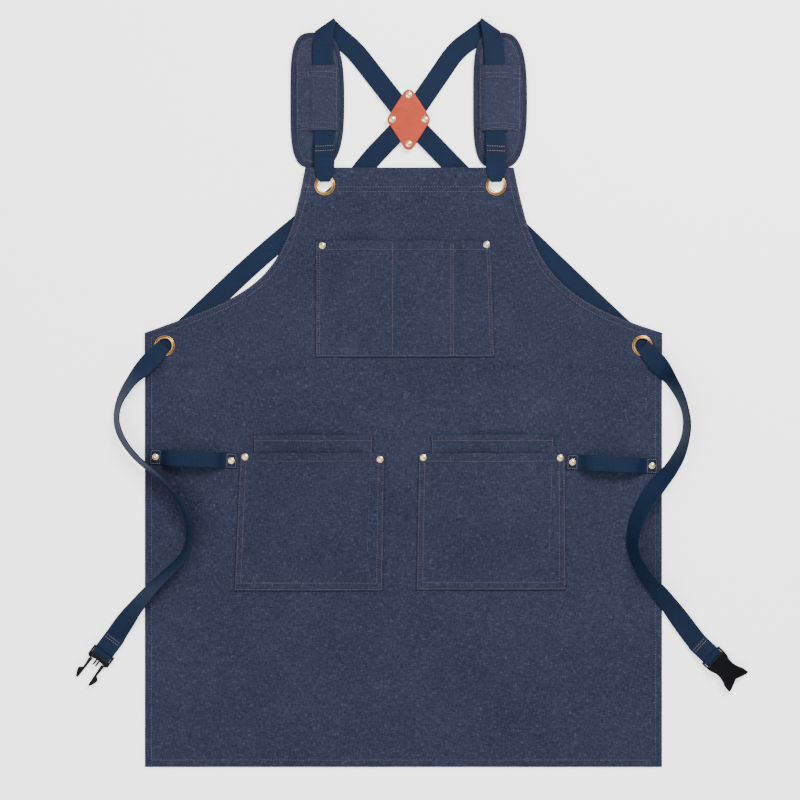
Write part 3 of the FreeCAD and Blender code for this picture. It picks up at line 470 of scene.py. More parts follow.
# ------------------------------------------------------------------------------ mesh making
def show(name: str, data: Any) -> bpy.types.Object:
    """Put a mesh, curve, light or camera into the scene."""
    thing = bpy.data.objects.new(name, data)
    bpy.context.scene.collection.objects.link(thing)
    return thing


class Draft:
    """Vertices in millimetres and faces, turned into one piece in metres."""

    def __init__(self, name: str) -> None:
        """Start an empty draft."""
        self.name = name
        self.points: List[Tuple[float, float, float]] = []
        self.faces: List[Tuple[int, ...]] = []
        self.weave: List[Spot] = []

    def point(self, spot: Sequence[float], weave: Spot = (0.0, 0.0)) -> int:
        """Add a vertex and return its number."""
        self.points.append((spot[0], spot[1], spot[2]))
        self.weave.append(weave)
        return len(self.points) - 1

    def ring(self, spots: Sequence[Sequence[float]]) -> List[int]:
        """Add several vertices and return their numbers."""
        return [self.point(spot) for spot in spots]

    def join(self, first: Sequence[int], second: Sequence[int]) -> None:
        """Bridge two closed rings of vertices with quads."""
        for index in range(len(first)):
            after = (index + 1) % len(first)
            self.faces.append((first[index], first[after], second[after], second[index]))

    def bridge(self, first: Sequence[int], second: Sequence[int]) -> None:
        """Bridge two closed rings, of which one may be a single vertex."""
        if len(first) > 1 and len(second) > 1:
            self.join(first, second)
            return
        tip, ring = (first[0], second) if len(first) == 1 else (second[0], first)
        for index, corner in enumerate(ring):
            self.faces.append((tip, corner, ring[(index + 1) % len(ring)]))

    def piece(self, body: Body, material: bpy.types.Material, slot: str,
              woven: bool = False) -> bpy.types.Object:
        """Make the object.

        Args:
            body: the body it moves with.
            material: its finish.
            slot: not used.
            woven: whether its finish follows the weave map.
        Returns:
            The object, riding on its body.
        """
        mesh = bpy.data.meshes.new(self.name)
        mesh.from_pydata([tuple(c * MM for c in spot) for spot in self.points], [], self.faces)
        if woven:
            layer = mesh.uv_layers.new(name="weave")
            for loop in mesh.loops:
                layer.data[loop.index].uv = self.weave[loop.vertex_index]
        mesh.validate()
        work = bmesh.new()
        work.from_mesh(mesh)
        bmesh.ops.recalc_face_normals(work, faces=work.faces)
        work.to_mesh(mesh)
        work.free()
        mesh.polygons.foreach_set("use_smooth", [True] * len(mesh.polygons))
        thing = show(self.name, mesh)
        dress(thing, material)
        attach(thing, body.value)
        LOG.info("%s made, on %s", self.name, body.value)
        return thing


def dress(thing: bpy.types.Object, material: bpy.types.Material) -> None:
    """Give an object one material."""
    thing.data.materials.clear()
    thing.data.materials.append(material)


def dress_node(name: str, material: bpy.types.Material) -> None:
    """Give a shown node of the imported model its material, through its object's own slots."""
    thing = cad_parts[name]
    if not thing.material_slots:
        thing.data.materials.append(material)
    for slot in thing.material_slots:
        slot.link = "OBJECT"
        slot.material = material


def cloth(draft: Draft, rows: Sequence[Sequence[Vector]], thick: float,
          holes: Sequence[Tuple[float, float, float]] = ()) -> None:
    """Add a closed cloth of even thickness, given the grid of places on its face.

    Args:
        draft: the draft to add to.
        rows: places on the face, row by row, left to right and bottom to top.
        thick: the cloth's thickness.
        holes: (x, y, radius) of holes cut through it.
    """
    tall, wide = len(rows), len(rows[0])
    face, back = [], []
    for j, row in enumerate(rows):
        for i, spot in enumerate(row):
            along = row[min(i + 1, wide - 1)] - row[max(i - 1, 0)]
            up = rows[min(j + 1, tall - 1)][i] - rows[max(j - 1, 0)][i]
            normal = along.cross(up)
            normal = normal.normalized() if normal.length > 1e-9 else UP
            under = spot - normal * thick
            under.z = max(under.z, 0.02)
            face.append(draft.point(spot))
            back.append(draft.point(under))
    edges: Dict[Tuple[int, int], bool] = {}     # in the order they are met
    for j in range(tall - 1):
        for i in range(wide - 1):
            corner = [j * wide + i, j * wide + i + 1, (j + 1) * wide + i + 1, (j + 1) * wide + i]
            middle = (rows[j][i] + rows[j + 1][i + 1]) / 2
            if any(math.hypot(middle.x - x, middle.y - y) < radius for x, y, radius in holes):
                continue
            draft.faces.append(tuple(face[c] for c in corner))
            draft.faces.append(tuple(back[c] for c in reversed(corner)))
            for first, second in zip(corner, corner[1:] + corner[:1]):
                edges[(first, second)] = True
    for first, second in edges:
        if (second, first) not in edges:
            draft.faces.append((face[second], face[first], back[first], back[second]))


def spread(start: float, end: float, margins: Sequence[float], step: float) -> List[float]:
    """Places from start to end: close together at both ends, and even between.

    Args:
        start: the first place.
        end: the last place.
        margins: distances of the close places from each end, growing from 0.
        step: the even spacing between them.
    Returns:
        The places in order.
    """
    inner = (end - start) - 2 * margins[-1]
    count = max(int(inner / step), 2)
    middle = [start + margins[-1] + inner * k / count for k in range(1, count)]
    return [start + m for m in margins] + middle + [end - m for m in reversed(margins)]


def lathe(draft: Draft, profile: Sequence[Spot], centre: Vector, steps: int = 48,
          closed: bool = False) -> None:
    """Turn a profile of (radius, height) about the upright through a centre."""
    rings = []
    for radius, height in profile:
        if radius < 1e-6:
            rings.append([draft.point((centre.x, centre.y, centre.z + height))])
            continue
        spots = []
        for step in range(steps):
            angle = 2 * math.pi * step / steps
            spots.append((centre.x + radius * math.cos(angle),
                          centre.y + radius * math.sin(angle), centre.z + height))
        rings.append(draft.ring(spots))
    pairs = list(zip(rings, rings[1:]))
    if closed:
        pairs.append((rings[-1], rings[0]))
    for first, second in pairs:
        draft.bridge(first, second)


# ------------------------------------------------------------------------------ the canvas body
@dataclass
class BodyCloth:
    """The canvas body: its outline, its hems and the height of its face."""
    half: float = 328.3
    hem: float = -475.0
    side_top: float = 76.3
    bib_top: float = 285.6
    left_bib: float = -124.6
    right_bib: float = 139.8
    hem_width: float = 10.0
    band_width: float = 27.5
    left_curve: Tuple[Spot, ...] = ((-124.6, 285.6), (-151.0, 136.0), (-188.0, 126.7),
                                    (-328.3, 76.3))
    right_curve: Tuple[Spot, ...] = ((139.8, 285.6), (162.6, 170.3), (182.3, 120.3),
                                     (328.3, 76.3))
    armhole_seams: Spot = (1.9, 8.6)            # in from the edge
    side_seam: float = 8.4
    hem_seam: float = 9.0
    band_seams: Spot = (24.6, 30.6)             # down from the bib's top
    side_ramp: Spot = (18.0, 42.0)              # levels over which the side straps lift it
    bib_ramp: Spot = (213.0, 245.0)             # and the straps behind the bib
    traces: Dict[Side, List[Spot]] = field(default_factory=dict)

    def __post_init__(self) -> None:
        """Trace the two armholes."""
        for side, curve in ((Side.LEFT, self.left_curve), (Side.RIGHT, self.right_curve)):
            trace = []
            for step in range(81):
                t = step / 80.0
                shares = ((1 - t) ** 3, 3 * t * (1 - t) ** 2, 3 * t * t * (1 - t), t ** 3)
                trace.append((sum(s * p[0] for s, p in zip(shares, curve)),
                              sum(s * p[1] for s, p in zip(shares, curve))))
            self.traces[side] = trace

    def edge(self, side: Side, y: float) -> float:
        """The x of the body's left or right edge at a level."""
        if y <= self.side_top:
            return side.value * self.half
        trace = self.traces[side]
        for upper, lower in zip(trace, trace[1:]):
            if lower[1] <= y <= upper[1]:
                share = (upper[1] - y) / max(upper[1] - lower[1], 1e-9)
                return upper[0] + (lower[0] - upper[0]) * share
        return trace[0][0]

    def armhole_gap(self, x: float, y: float) -> float:
        """How far a place is from the nearer armhole's edge."""
        trace = self.traces[Side.LEFT if x < 5 else Side.RIGHT]
        best = 1e9
        for (ax, ay), (bx, by) in zip(trace[::2], trace[2::2]):
            dx, dy = bx - ax, by - ay
            t = min(max(((x - ax) * dx + (y - ay) * dy) / (dx * dx + dy * dy), 0.0), 1.0)
            best = min(best, math.hypot(x - ax - dx * t, y - ay - dy * t))
        return best

    def gaps(self, x: float, y: float) -> Tuple[float, float]:
        """How far a place is from the nearest hemmed edge, and below the bib's top."""
        gap = min(self.half - abs(x), y - self.hem) if y < self.side_top + 2 else 1e9
        if y > 20.0:
            gap = min(gap, self.armhole_gap(x, y))
        return gap, self.bib_top - y

    def floor(self, x: float, y: float) -> float:
        """How far the straps behind the cloth, and its own slackness, lift it."""
        lift = SIDE_LIFT * ease(*self.side_ramp, y) \
            + (BIB_LIFT - SIDE_LIFT) * ease(*self.bib_ramp, y)
        slack = 1.5 * max(0.0, rumple(x, y, 120.0, 3.0) + 0.05)
        slack += 0.7 * max(0.0, rumple(x * 0.8, y * 1.4, 46.0, 7.0))
        edge = min(self.half - abs(x), y - self.hem)
        return lift + slack * (0.35 + 0.65 * ease(0, 40, edge))

    def face(self, x: float, y: float) -> float:
        """The height of the cloth's face."""
        gap, down = self.gaps(x, y)
        level = self.floor(x, y) + CANVAS
        level += TURNED * (1 - ease(self.hem_width - 0.5, self.hem_width + 1.0, gap))
        level += TURNED * (1 - ease(self.band_width - 0.5, self.band_width + 1.0, down)) \
            * ease(self.hem_width - 2, self.hem_width, gap)
        level -= 0.55 * eased_edge(min(gap, down), 1.2)
        pucker = 0.34 * ridge(gap, self.hem_width - 1.4, 4.2) \
            + 0.3 * ridge(down, self.band_width - 3.0, 4.0)
        level += pucker * rumple(x, y, 5.2, 11.0)
        for place in (8.2, 1.6):
            level -= GROOVE * ridge(gap, place, GROOVE_WIDTH)
        for place in self.band_seams:
            level -= GROOVE * ridge(down, place, GROOVE_WIDTH)
        return level + 0.10 * rumple(x, y, 13.0, 5.0)

    def plain(self, x: float, y: float) -> float:
        """The face without its hems, as the pockets and loops find it."""
        return self.floor(x, y) + CANVAS

    def build(self, palette: Palette) -> bpy.types.Object:
        """Make the body's cloth.

        Args:
            palette: the finishes.
        Returns:
            The cloth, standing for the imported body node.
        """
        draft = Draft("body_cloth")
        margins = (0.0, 0.5, 1.3, 2.6, 4.4, 6.4, 8.2, 9.4, 10.4, 11.6, 13.6)
        levels = spread(self.hem, self.side_top, margins, 3.0)[:-1]
        levels += spread(self.side_top, self.bib_top, (0.0, 0.5, 1.3, 2.8, 4.6), 2.5)
        rows = []
        for y in levels:
            left, right = self.edge(Side.LEFT, y), self.edge(Side.RIGHT, y)
            narrow = (right - left) / (2 * self.half)
            across = spread(left, right, margins, 2.9 * max(narrow, 0.4))
            rows.append((y, across))
        count = max(len(across) for _, across in rows)
        grid = []
        for y, across in rows:
            inner = count - 2 * len(margins)
            start, end = across[len(margins) - 1], across[-len(margins)]
            middle = [start + (end - start) * k / (inner + 1) for k in range(1, inner + 1)]
            whole = across[:len(margins)] + middle + across[-len(margins):]
            grid.append([Vector((x, y, self.face(x, y))) for x in whole])
        cloth(draft, grid, CANVAS, [(x, y, EYELET_HOLE) for x, y in BIB_EYELETS + SIDE_EYELETS])
        piece = draft.piece(Body.APRON, palette.body, "body_canvas")
        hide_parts("apron_body")
        wide, tall = 2 * self.half * MM, (self.bib_top - self.hem) * MM
        wide * tall * 0.86
        return piece


# ------------------------------------------------------------------------------ stitching
class Seams:
    """Lockstitches laid on a surface, each a small arched capsule of thread."""

    sides = 6
    # along the stitch from -1 to 1, the share of its thickness, and how far it sinks in
    capsule = ((-1, 0, 0.3), (-0.72, 0.8, 0.1), (0, 1, 0), (0.72, 0.8, 0.1), (1, 0, 0.3))

    def __init__(self, name: str, height: Height, pitch: float = 3.4, length: float = 2.3,
                 thread: float = 0.40) -> None:
        """Start the seams of one surface.

        Args:
            name: the piece's name.
            height: the surface's height at a place.
            pitch: from one stitch to the next.
            length: of the thread seen in one stitch.
            thread: half the thread's thickness.
        """
        self.draft = Draft(name)
        self.height = height
        self.pitch = pitch
        self.length = length
        self.thread = thread

    def stitch(self, middle: Vector, ahead: Vector) -> None:
        """Add one stitch at a place in plan, along a unit direction."""
        across = plan(-ahead.y, ahead.x)
        rings = []
        for share, swell, sink in self.capsule:
            spot = middle + ahead * (share * self.length / 2)
            base = self.height(spot.x, spot.y) + 0.12 - sink
            if swell == 0:
                rings.append([self.draft.point((spot.x, spot.y, base))])
                continue
            ring = []
            for step in range(self.sides):
                angle = 2 * math.pi * step / self.sides
                out = across * (math.cos(angle) * self.thread * swell)
                ring.append((spot.x + out.x, spot.y + out.y,
                             base + math.sin(angle) * self.thread * 0.8 * swell))
            rings.append(self.draft.ring(ring))
        for first, second in zip(rings, rings[1:]):
            self.draft.bridge(first, second)

    def run(self, path: Sequence[Spot], wander: float = 0.25) -> None:
        """Sew along a path in plan.

        Args:
            path: its corners.
            wander: how far a stitch may stray from the line.
        """
        spots = [plan(x, y) for x, y in path]
        carry = self.pitch / 2
        for start, end in zip(spots, spots[1:]):
            reach = (end - start).length
            if reach < 1e-6:
                continue
            ahead = (end - start) / reach
            side = plan(-ahead.y, ahead.x)
            while carry < reach:
                middle = start + ahead * carry
                stray = rumple(middle.x, middle.y, 17.0, 2.0) * wander
                self.stitch(middle + side * stray, ahead)
                carry += self.pitch
            carry -= reach

    def run_between(self, start: Vector, end: Vector, wander: float = 0.15) -> None:
        """Sew one straight line."""
        self.run([(start.x, start.y), (end.x, end.y)], wander)

    def finish(self, body: Body, material: bpy.types.Material, slot: str) -> bpy.types.Object:
        """Make the seams into one piece."""
        return self.draft.piece(body, material, slot)


def offset_trace(trace: Sequence[Spot], inset: float) -> List[Spot]:
    """A trace moved sideways by inset, to the left of its own direction."""
    moved = []
    for index, (x, y) in enumerate(trace):
        ax, ay = trace[max(index - 1, 0)]
        bx, by = trace[min(index + 1, len(trace) - 1)]
        reach = math.hypot(bx - ax, by - ay)
        moved.append((x - (by - ay) / reach * inset, y + (bx - ax) / reach * inset))
    return moved


def sew_body(shape: BodyCloth, palette: Palette) -> None:
    """Sew the body's hems: two lines at the armholes and band, one at the sides and bottom."""
    seams = Seams("body_hem_seams", shape.face)
    side, low, top = shape.half - shape.side_seam, shape.hem + shape.hem_seam, shape.side_top
    for inset in shape.armhole_seams:
        seams.run(offset_trace(list(reversed(shape.traces[Side.LEFT])), -inset)[2:-2])
        seams.run(offset_trace(shape.traces[Side.RIGHT], -inset)[2:-2])
    for sign in (-1, 1):
        seams.run([(sign * side, low), (sign * side, top - 6)])
    seams.run([(9 - shape.half, low), (shape.half - 9, low)])
    for down in shape.band_seams:
        y = shape.bib_top - down
        seams.run([(shape.edge(Side.LEFT, y) + 3, y), (-115.0, y)])
        seams.run([(-84.5, y), (102.5, y)])
        seams.run([(132.0, y), (shape.edge(Side.RIGHT, y) - 3, y)])
    seams.finish(Body.APRON, palette.thread, "body_canvas")


# ------------------------------------------------------------------------------ pockets
def arch(x: float, begin: float, finish: float) -> float:
    """A smooth hump between two places, 1 in its middle and 0 outside them."""
    if not begin < x < finish:
        return 0.0
    return math.sin(math.pi * (x - begin) / (finish - begin)) ** 1.35


@dataclass
class PocketCloth:
    """One pocket's cloth over another surface: a hollow arch between flat sewn feet."""
    name: str
    node: str
    mouth: Spot                 # left and right edges at the mouth
    bottom: Spot                # and at the bottom
    top: float
    low: float
    under: Height               # what it is sewn to
    hem: float                  # depth of the mouth's hem
    layer: float                # picks its own unevenness
    foot: float = 0.0           # from each side to where the arch starts
    rise: float = 0.0           # of the arch at the mouth
    allowance: float = 10.0     # cloth turned in at the sides and bottom

    def edges(self, y: float) -> Spot:
        """The left and right edges at a level."""
        share = (self.top - y) / (self.top - self.low)
        return (self.mouth[0] + (self.bottom[0] - self.mouth[0]) * share,
                self.mouth[1] + (self.bottom[1] - self.mouth[1]) * share)

    def fullness(self, y: float, middle: float, last: float = 0.06, bend: float = 0.45) -> float:
        """How full the pocket is at a level: 1 at the mouth, and middle at the bend."""
        share = (self.top - y) / (self.top - self.low)
        if share < bend:
            return 1.0 + (middle - 1.0) * share / bend
        return middle + (last - middle) * ease(bend, 1.0, share)

    def swell(self, x: float, y: float) -> float:
        """How far the cloth stands off what it is sewn to."""
        left, right = self.edges(y)
        full = self.fullness(y, 0.8)
        uneven = 1.0 + 0.10 * rumple(x, y, 34.0, 20.0 + self.layer) * full
        return self.rise * full * arch(x, left + self.foot, right - self.foot) * uneven

    def face(self, x: float, y: float) -> float:
        """The height of the pocket's face."""
        left, right = self.edges(y)
        side = min(x - left, right - x)
        level = self.under(x, y) + GAP + CANVAS + self.swell(x, y)
        down = self.top - y
        level += TURNED * (1 - ease(self.hem - 0.5, self.hem + 1.0, down))
        turned = min(side, y - self.low)
        level += 0.6 * (1 - ease(self.allowance - 1.0, self.allowance + 0.6, turned)) \
            * ease(self.hem - 1.0, self.hem + 2.0, down)
        level -= 0.85 * eased_edge(min(turned, down), 1.6)
        pucker = 0.3 * ridge(down, self.hem - 1.5, 4.0) + 0.26 * ridge(side, 5.0, 4.5) \
            + 0.24 * ridge(y - self.low, 5.0, 5.0)
        level += pucker * rumple(x, y, 5.4, 31.0 + self.layer)
        return level + 0.16 * rumple(x, y, 15.0, 40.0 + self.layer)

    def build(self, palette: Palette, grid_step: float = 2.2) -> bpy.types.Object:
        """Make the pocket's cloth."""
        draft = Draft(self.name)
        margins = (0.0, 0.5, 1.2, 2.6, 4.4, 6.4, 8.6)
        levels = spread(self.low, self.top, margins + (10.6, 12.2), grid_step)
        rows = []
        for y in levels:
            left, right = self.edges(y)
            columns = spread(0.0, self.mouth[1] - self.mouth[0], margins, grid_step)
            stretch = (right - left) / columns[-1]
            places = [left + column * stretch for column in columns]
            rows.append([Vector((x, y, self.face(x, y))) for x in places])
        cloth(draft, rows, CANVAS)
        piece = draft.piece(Body.APRON, palette.pocket, "pocket_canvas")
        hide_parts(self.node)
        wide = (self.mouth[1] - self.mouth[0] + 4) * MM
        (self.top - self.low) * MM
        return piece

    def sew(self, palette: Palette, lines: Sequence[Sequence[Spot]]) -> None:
        """Sew the pocket along given lines."""
        seams = Seams(self.name + "_seams", self.face)
        for line in lines:
            seams.run(line)
        seams.finish(Body.APRON, palette.thread, "pocket_canvas")

    def border(self, inset: float, low: float, rise: float = 1.5) -> List[Spot]:
        """A line down the left side, along the bottom and up the right side."""
        left_top, right_top = self.edges(self.top - rise)
        left_low, right_low = self.edges(self.low + low)
        return [(left_top + inset, self.top - rise), (left_low + inset, self.low + low),
                (right_low - inset, self.low + low), (right_top - inset, self.top - rise)]

    def hem_line(self, down: float) -> List[Spot]:
        """The line that holds the mouth's hem."""
        y = self.top - down
        left, right = self.edges(y)
        return [(left + 2.0, y), (right - 2.0, y)]


class ChestPocket(PocketCloth):
    """The bib pocket: three compartments, whose arches lie between upright seams."""

    compartments = ((-97.9, -17.1, 8.8), (-11.1, 57.9, 7.8), (65.2, 97.5, 5.6))
    dividers = (-14.1, 59.9, 63.2)

    def swell(self, x: float, y: float) -> float:
        """How far the cloth stands off the bib."""
        full = self.fullness(y, 0.76)
        uneven = 1.0 + 0.08 * rumple(x, y, 30.0, 21.0)
        return sum(rise * full * arch(x, begin, finish) * uneven
                   for begin, finish, rise in self.compartments)


def make_pockets(shape: BodyCloth, palette: Palette) -> List[PocketCloth]:
    """Make the chest pocket and the two double skirt pockets.

    Args:
        shape: the body they are sewn to.
        palette: the finishes.
    Returns:
        The chest pocket and the two front skirt pockets.
    """
    chest = ChestPocket("chest_pocket_cloth", "chest_pocket", (-111.9, 111.0), (-111.9, 116.0),
                        193.0, 45.0, shape.plain, hem=12.0, layer=1.0)
    chest.build(palette)
    inner = chest.border(5.6, 2.4)
    chest.sew(palette, [chest.border(2.2, 2.4), inner[:2], inner[2:], chest.hem_line(11.5)]
              + [[(x, chest.top - 3), (x, chest.low + 3)] for x in chest.dividers])
    made: List[PocketCloth] = [chest]
    # side; then mouth, bottom and top of the rear pocket; mouth, bottom, top and low of the front
    tables = (
        (Side.LEFT, (-190.8, -38.5), (-190.0, -44.0), -53.0,
         (-207.6, -23.5), (-215.3, -26.0), -75.8, -251.5),
        (Side.RIGHT, (34.4, 191.4), (40.0, 187.0), -52.8,
         (18.9, 205.5), (15.9, 206.4), -76.0, -250.5))
    for side, rear_mouth, rear_bottom, rear_top, mouth, bottom, top, low in tables:
        rear = PocketCloth(f"{side.word}_rear_pocket_cloth", f"{side.word}_rear_pocket",
                           rear_mouth, rear_bottom, rear_top, -205.0, shape.plain, hem=9.0,
                           layer=2.0 + side.value, foot=9.0, rise=6.2)
        rear.build(palette, 3.0)
        edge = rear.border(2.0, 3.0)
        rear.sew(palette, [rear.hem_line(7.6), edge[:2], edge[2:]])
        front = PocketCloth(f"{side.word}_front_pocket_cloth", f"{side.word}_front_pocket",
                            mouth, bottom, top, low, shape.plain, hem=11.5,
                            layer=6.0 + side.value, foot=11.4, rise=13.9)
        front.build(palette)
        front.sew(palette, [front.border(2.0, 2.0), front.border(8.2, 10.2), front.hem_line(10.4)])
        made.append(front)
    return made


# ------------------------------------------------------------------------------ metal trim
RIVETS: Dict[str, Tuple[Spot, ...]] = {
    "chest_pocket": ((-102.9, 186.6), (105.3, 187.8)),
    "lower_pocket": ((-201.0, -81.2), (-29.6, -84.3), (25.1, -82.0), (198.8, -82.4)),
    "tool_loop": ((-314.7, -81.4), (-218.4, -86.0), (214.5, -87.8), (315.3, -92.5))}


def rivet_cap(draft: Draft, centre: Vector) -> None:
    """A domed cap with a rolled rim and a shallow groove round its crown."""
    profile = [(0.0, 0.0), (3.7, 0.0), (4.15, 0.18), (4.2, 0.5), (4.05, 0.82), (3.7, 1.0),
               (3.35, 0.98), (3.15, 0.9), (2.95, 1.0), (2.6, 1.28), (2.0, 1.52), (1.1, 1.67),
               (0.0, 1.7)]
    lathe(draft, profile, centre, 40)


def make_rivets(palette: Palette, heights: Dict[str, Height]) -> None:
    """Set the rivet caps of the pockets and loops on their cloth."""
    for name, places in RIVETS.items():
        draft = Draft(name + "_caps")
        for x, y in places:
            rivet_cap(draft, Vector((x, y, around(heights[name], x, y, 4.0) - CAP_PRESS)))
        piece = draft.piece(Body.APRON, palette.cap, "antique_brass")
        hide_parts(name + "_rivet_caps")
        dress_node(name + "_rivet_posts", palette.brass)


def make_eyelets(shape: BodyCloth, palette: Palette) -> None:
    """Set the four eyelets: a rolled ring, a dished flange and the barrel through the cloth."""
    profile = [(9.0, -1.7), (9.6, -1.7), (9.7, -0.1), (12.6, -0.1), (13.0, 0.1), (12.95, 0.34),
               (12.5, 0.55), (11.9, 0.6), (11.5, 0.66), (11.15, 0.92), (10.6, 1.18), (9.95, 1.2),
               (9.35, 1.0), (9.05, 0.6)]
    for word, lift, pair in (("bib", BIB_LIFT, BIB_EYELETS), ("side", SIDE_LIFT, SIDE_EYELETS)):
        draft = Draft(word + "_eyelet_rings")
        for x, y in pair:
            level = max(around(shape.face, x, y, 12.5) - 0.15, lift + CANVAS)
            lathe(draft, profile, Vector((x, y, level)), 72, True)
        piece = draft.piece(Body.APRON, palette.brass, "antique_brass")
        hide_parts(word + "_eyelets")
        dress_node(word + "_eyelet_washers", palette.brass)


# ------------------------------------------------------------------------------ webbing
@dataclass
class Station:
    """One station of a band: its middle, the way across it, and its width."""
    spot: Vector
    across: Vector
    width: float = WEBBING_WIDTH
    crossing: bool = False      # whether its across stands slantwise to the run, as at a fold


def smooth_line(spots: Sequence[Vector], resolution: int = 10) -> List[Vector]:
    """Read a smooth line through control points, as a NURBS spline of order 3 gives it.

    Args:
        spots: the control points, in millimetres.
        resolution: points per control point.
    Returns:
        The line's points, in millimetres.
    """
    curve = bpy.data.curves.new("guide", "CURVE")
    curve.dimensions = "3D"
    spline = curve.splines.new("NURBS")
    spline.points.add(len(spots) - 1)
    for point, spot in zip(spline.points, spots):
        point.co = (spot.x * MM, spot.y * MM, spot.z * MM, 1.0)
    spline.order_u = 3
    spline.use_endpoint_u = True
    spline.resolution_u = resolution
    holder = show("guide", curve)
    bpy.context.view_layer.update()
    mesh = bpy.data.meshes.new_from_object(holder.evaluated_get(
        bpy.context.evaluated_depsgraph_get()))
    line = [Vector(vertex.co) / MM for vertex in mesh.vertices]
    bpy.data.objects.remove(holder)
    bpy.data.curves.remove(curve)
    bpy.data.meshes.remove(mesh)
    return line


class Band:
    """A flat woven band along smoothly joined stations."""

    # its upper face in section, in shares of half its width and half its thickness
    section = ((-1.0, 0.0), (-0.985, 0.55), (-0.95, 0.9), (-0.88, 1.0), (-0.66, 0.97),
               (-0.33, 0.95), (0.0, 0.94), (0.33, 0.95), (0.66, 0.97), (0.88, 1.0),
               (0.95, 0.9), (0.985, 0.55), (1.0, 0.0))

    def __init__(self, name: str, stations: Sequence[Station], thick: float = WEBBING,
                 resolution: int = 10) -> None:
        """Lay the band's line and find half its width, as a vector, at each point.

        Args:
            name: the piece's name.
            stations: the band's stations in order.
            thick: its thickness.
            resolution: points of the line per station.
        """
        self.name = name
        self.thick = thick
        self.line = smooth_line([station.spot for station in stations], resolution)
        marks, start = [], 0        # the point of the line nearest each station, in order
        for index, station in enumerate(stations):
            left = len(stations) - 1 - index
            stop = len(self.line) - left
            best = min(range(start, max(stop, start + 1)),
                       key=lambda k: (self.line[k] - station.spot).length)
            marks.append(best)
            start = min(best + 1, len(self.line) - 1)
        marks[0], marks[-1] = 0, len(self.line) - 1
        runs = [0.0]
        for first, second in zip(self.line, self.line[1:]):
            runs.append(runs[-1] + (second - first).length)
        self.halves: List[Vector] = []
        place = 0
        for index in range(len(self.line)):
            while place < len(marks) - 2 and index >= marks[place + 1]:
                place += 1
            reach = max(runs[marks[place + 1]] - runs[marks[place]], 1e-6)
            share = min(max((runs[index] - runs[marks[place]]) / reach, 0.0), 1.0)
            first, second = stations[place], stations[place + 1]
            if first.crossing or second.crossing:
                half = (first.across * first.width).lerp(second.across * second.width, share) / 2
            else:
                share = ease(0, 1, share) * 0.5 + share * 0.5
                ahead = self.tangent(index)
                side = first.across.lerp(second.across, share)
                side -= ahead * side.dot(ahead)
                half = side.normalized() * (first.width + (second.width - first.width) * share) / 2
            self.halves.append(half)

    def tangent(self, index: int) -> Vector:
        """The unit direction of the line at one of its points."""
        before = self.line[max(index - 1, 0)]
        after = self.line[min(index + 1, len(self.line) - 1)]
        return (after - before).normalized()

    def length(self) -> float:
        """The length of the band's middle line."""
        return sum((b - a).length for a, b in zip(self.line, self.line[1:]))

    def build(self, body: Body, material: bpy.types.Material,
              slot: str = "webbing") -> bpy.types.Object:
        """Make the band: rounded selvedges and a slightly crowned face."""
        draft = Draft(self.name)
        half = self.thick / 2
        ring = self.section + tuple((u, -v) for u, v in reversed(self.section[1:-1]))
        rows, run = [], 0.0
        for index, spot in enumerate(self.line):
            if index:
                run += (spot - self.line[index - 1]).length
            side = self.halves[index].normalized()
            normal = self.tangent(index).cross(side).normalized()
            wide = self.halves[index].length
            curl = 0.05 * self.thick * rumple(run, 0.0, 21.0, len(self.name))
            row = []
            for u, v in ring:
                spot_here = spot + side * (u * wide) + normal * (v * half + curl * (u * u - 0.5))
                row.append(draft.point(spot_here, (u * 0.5 + 0.5, run * MM)))
            rows.append(row)
        for first, second in zip(rows, rows[1:]):
            draft.join(first, second)
        draft.faces.append(tuple(rows[0]))
        draft.faces.append(tuple(reversed(rows[-1])))
        LOG.info("%s is %.0f mm long", self.name, self.length())
        return draft.piece(body, material, slot, woven=True)


def flat_across(heading: Vector) -> Vector:
    """The unit vector across a band that lies flat and runs along a heading in plan."""
    return plan(-heading.y, heading.x).normalized()


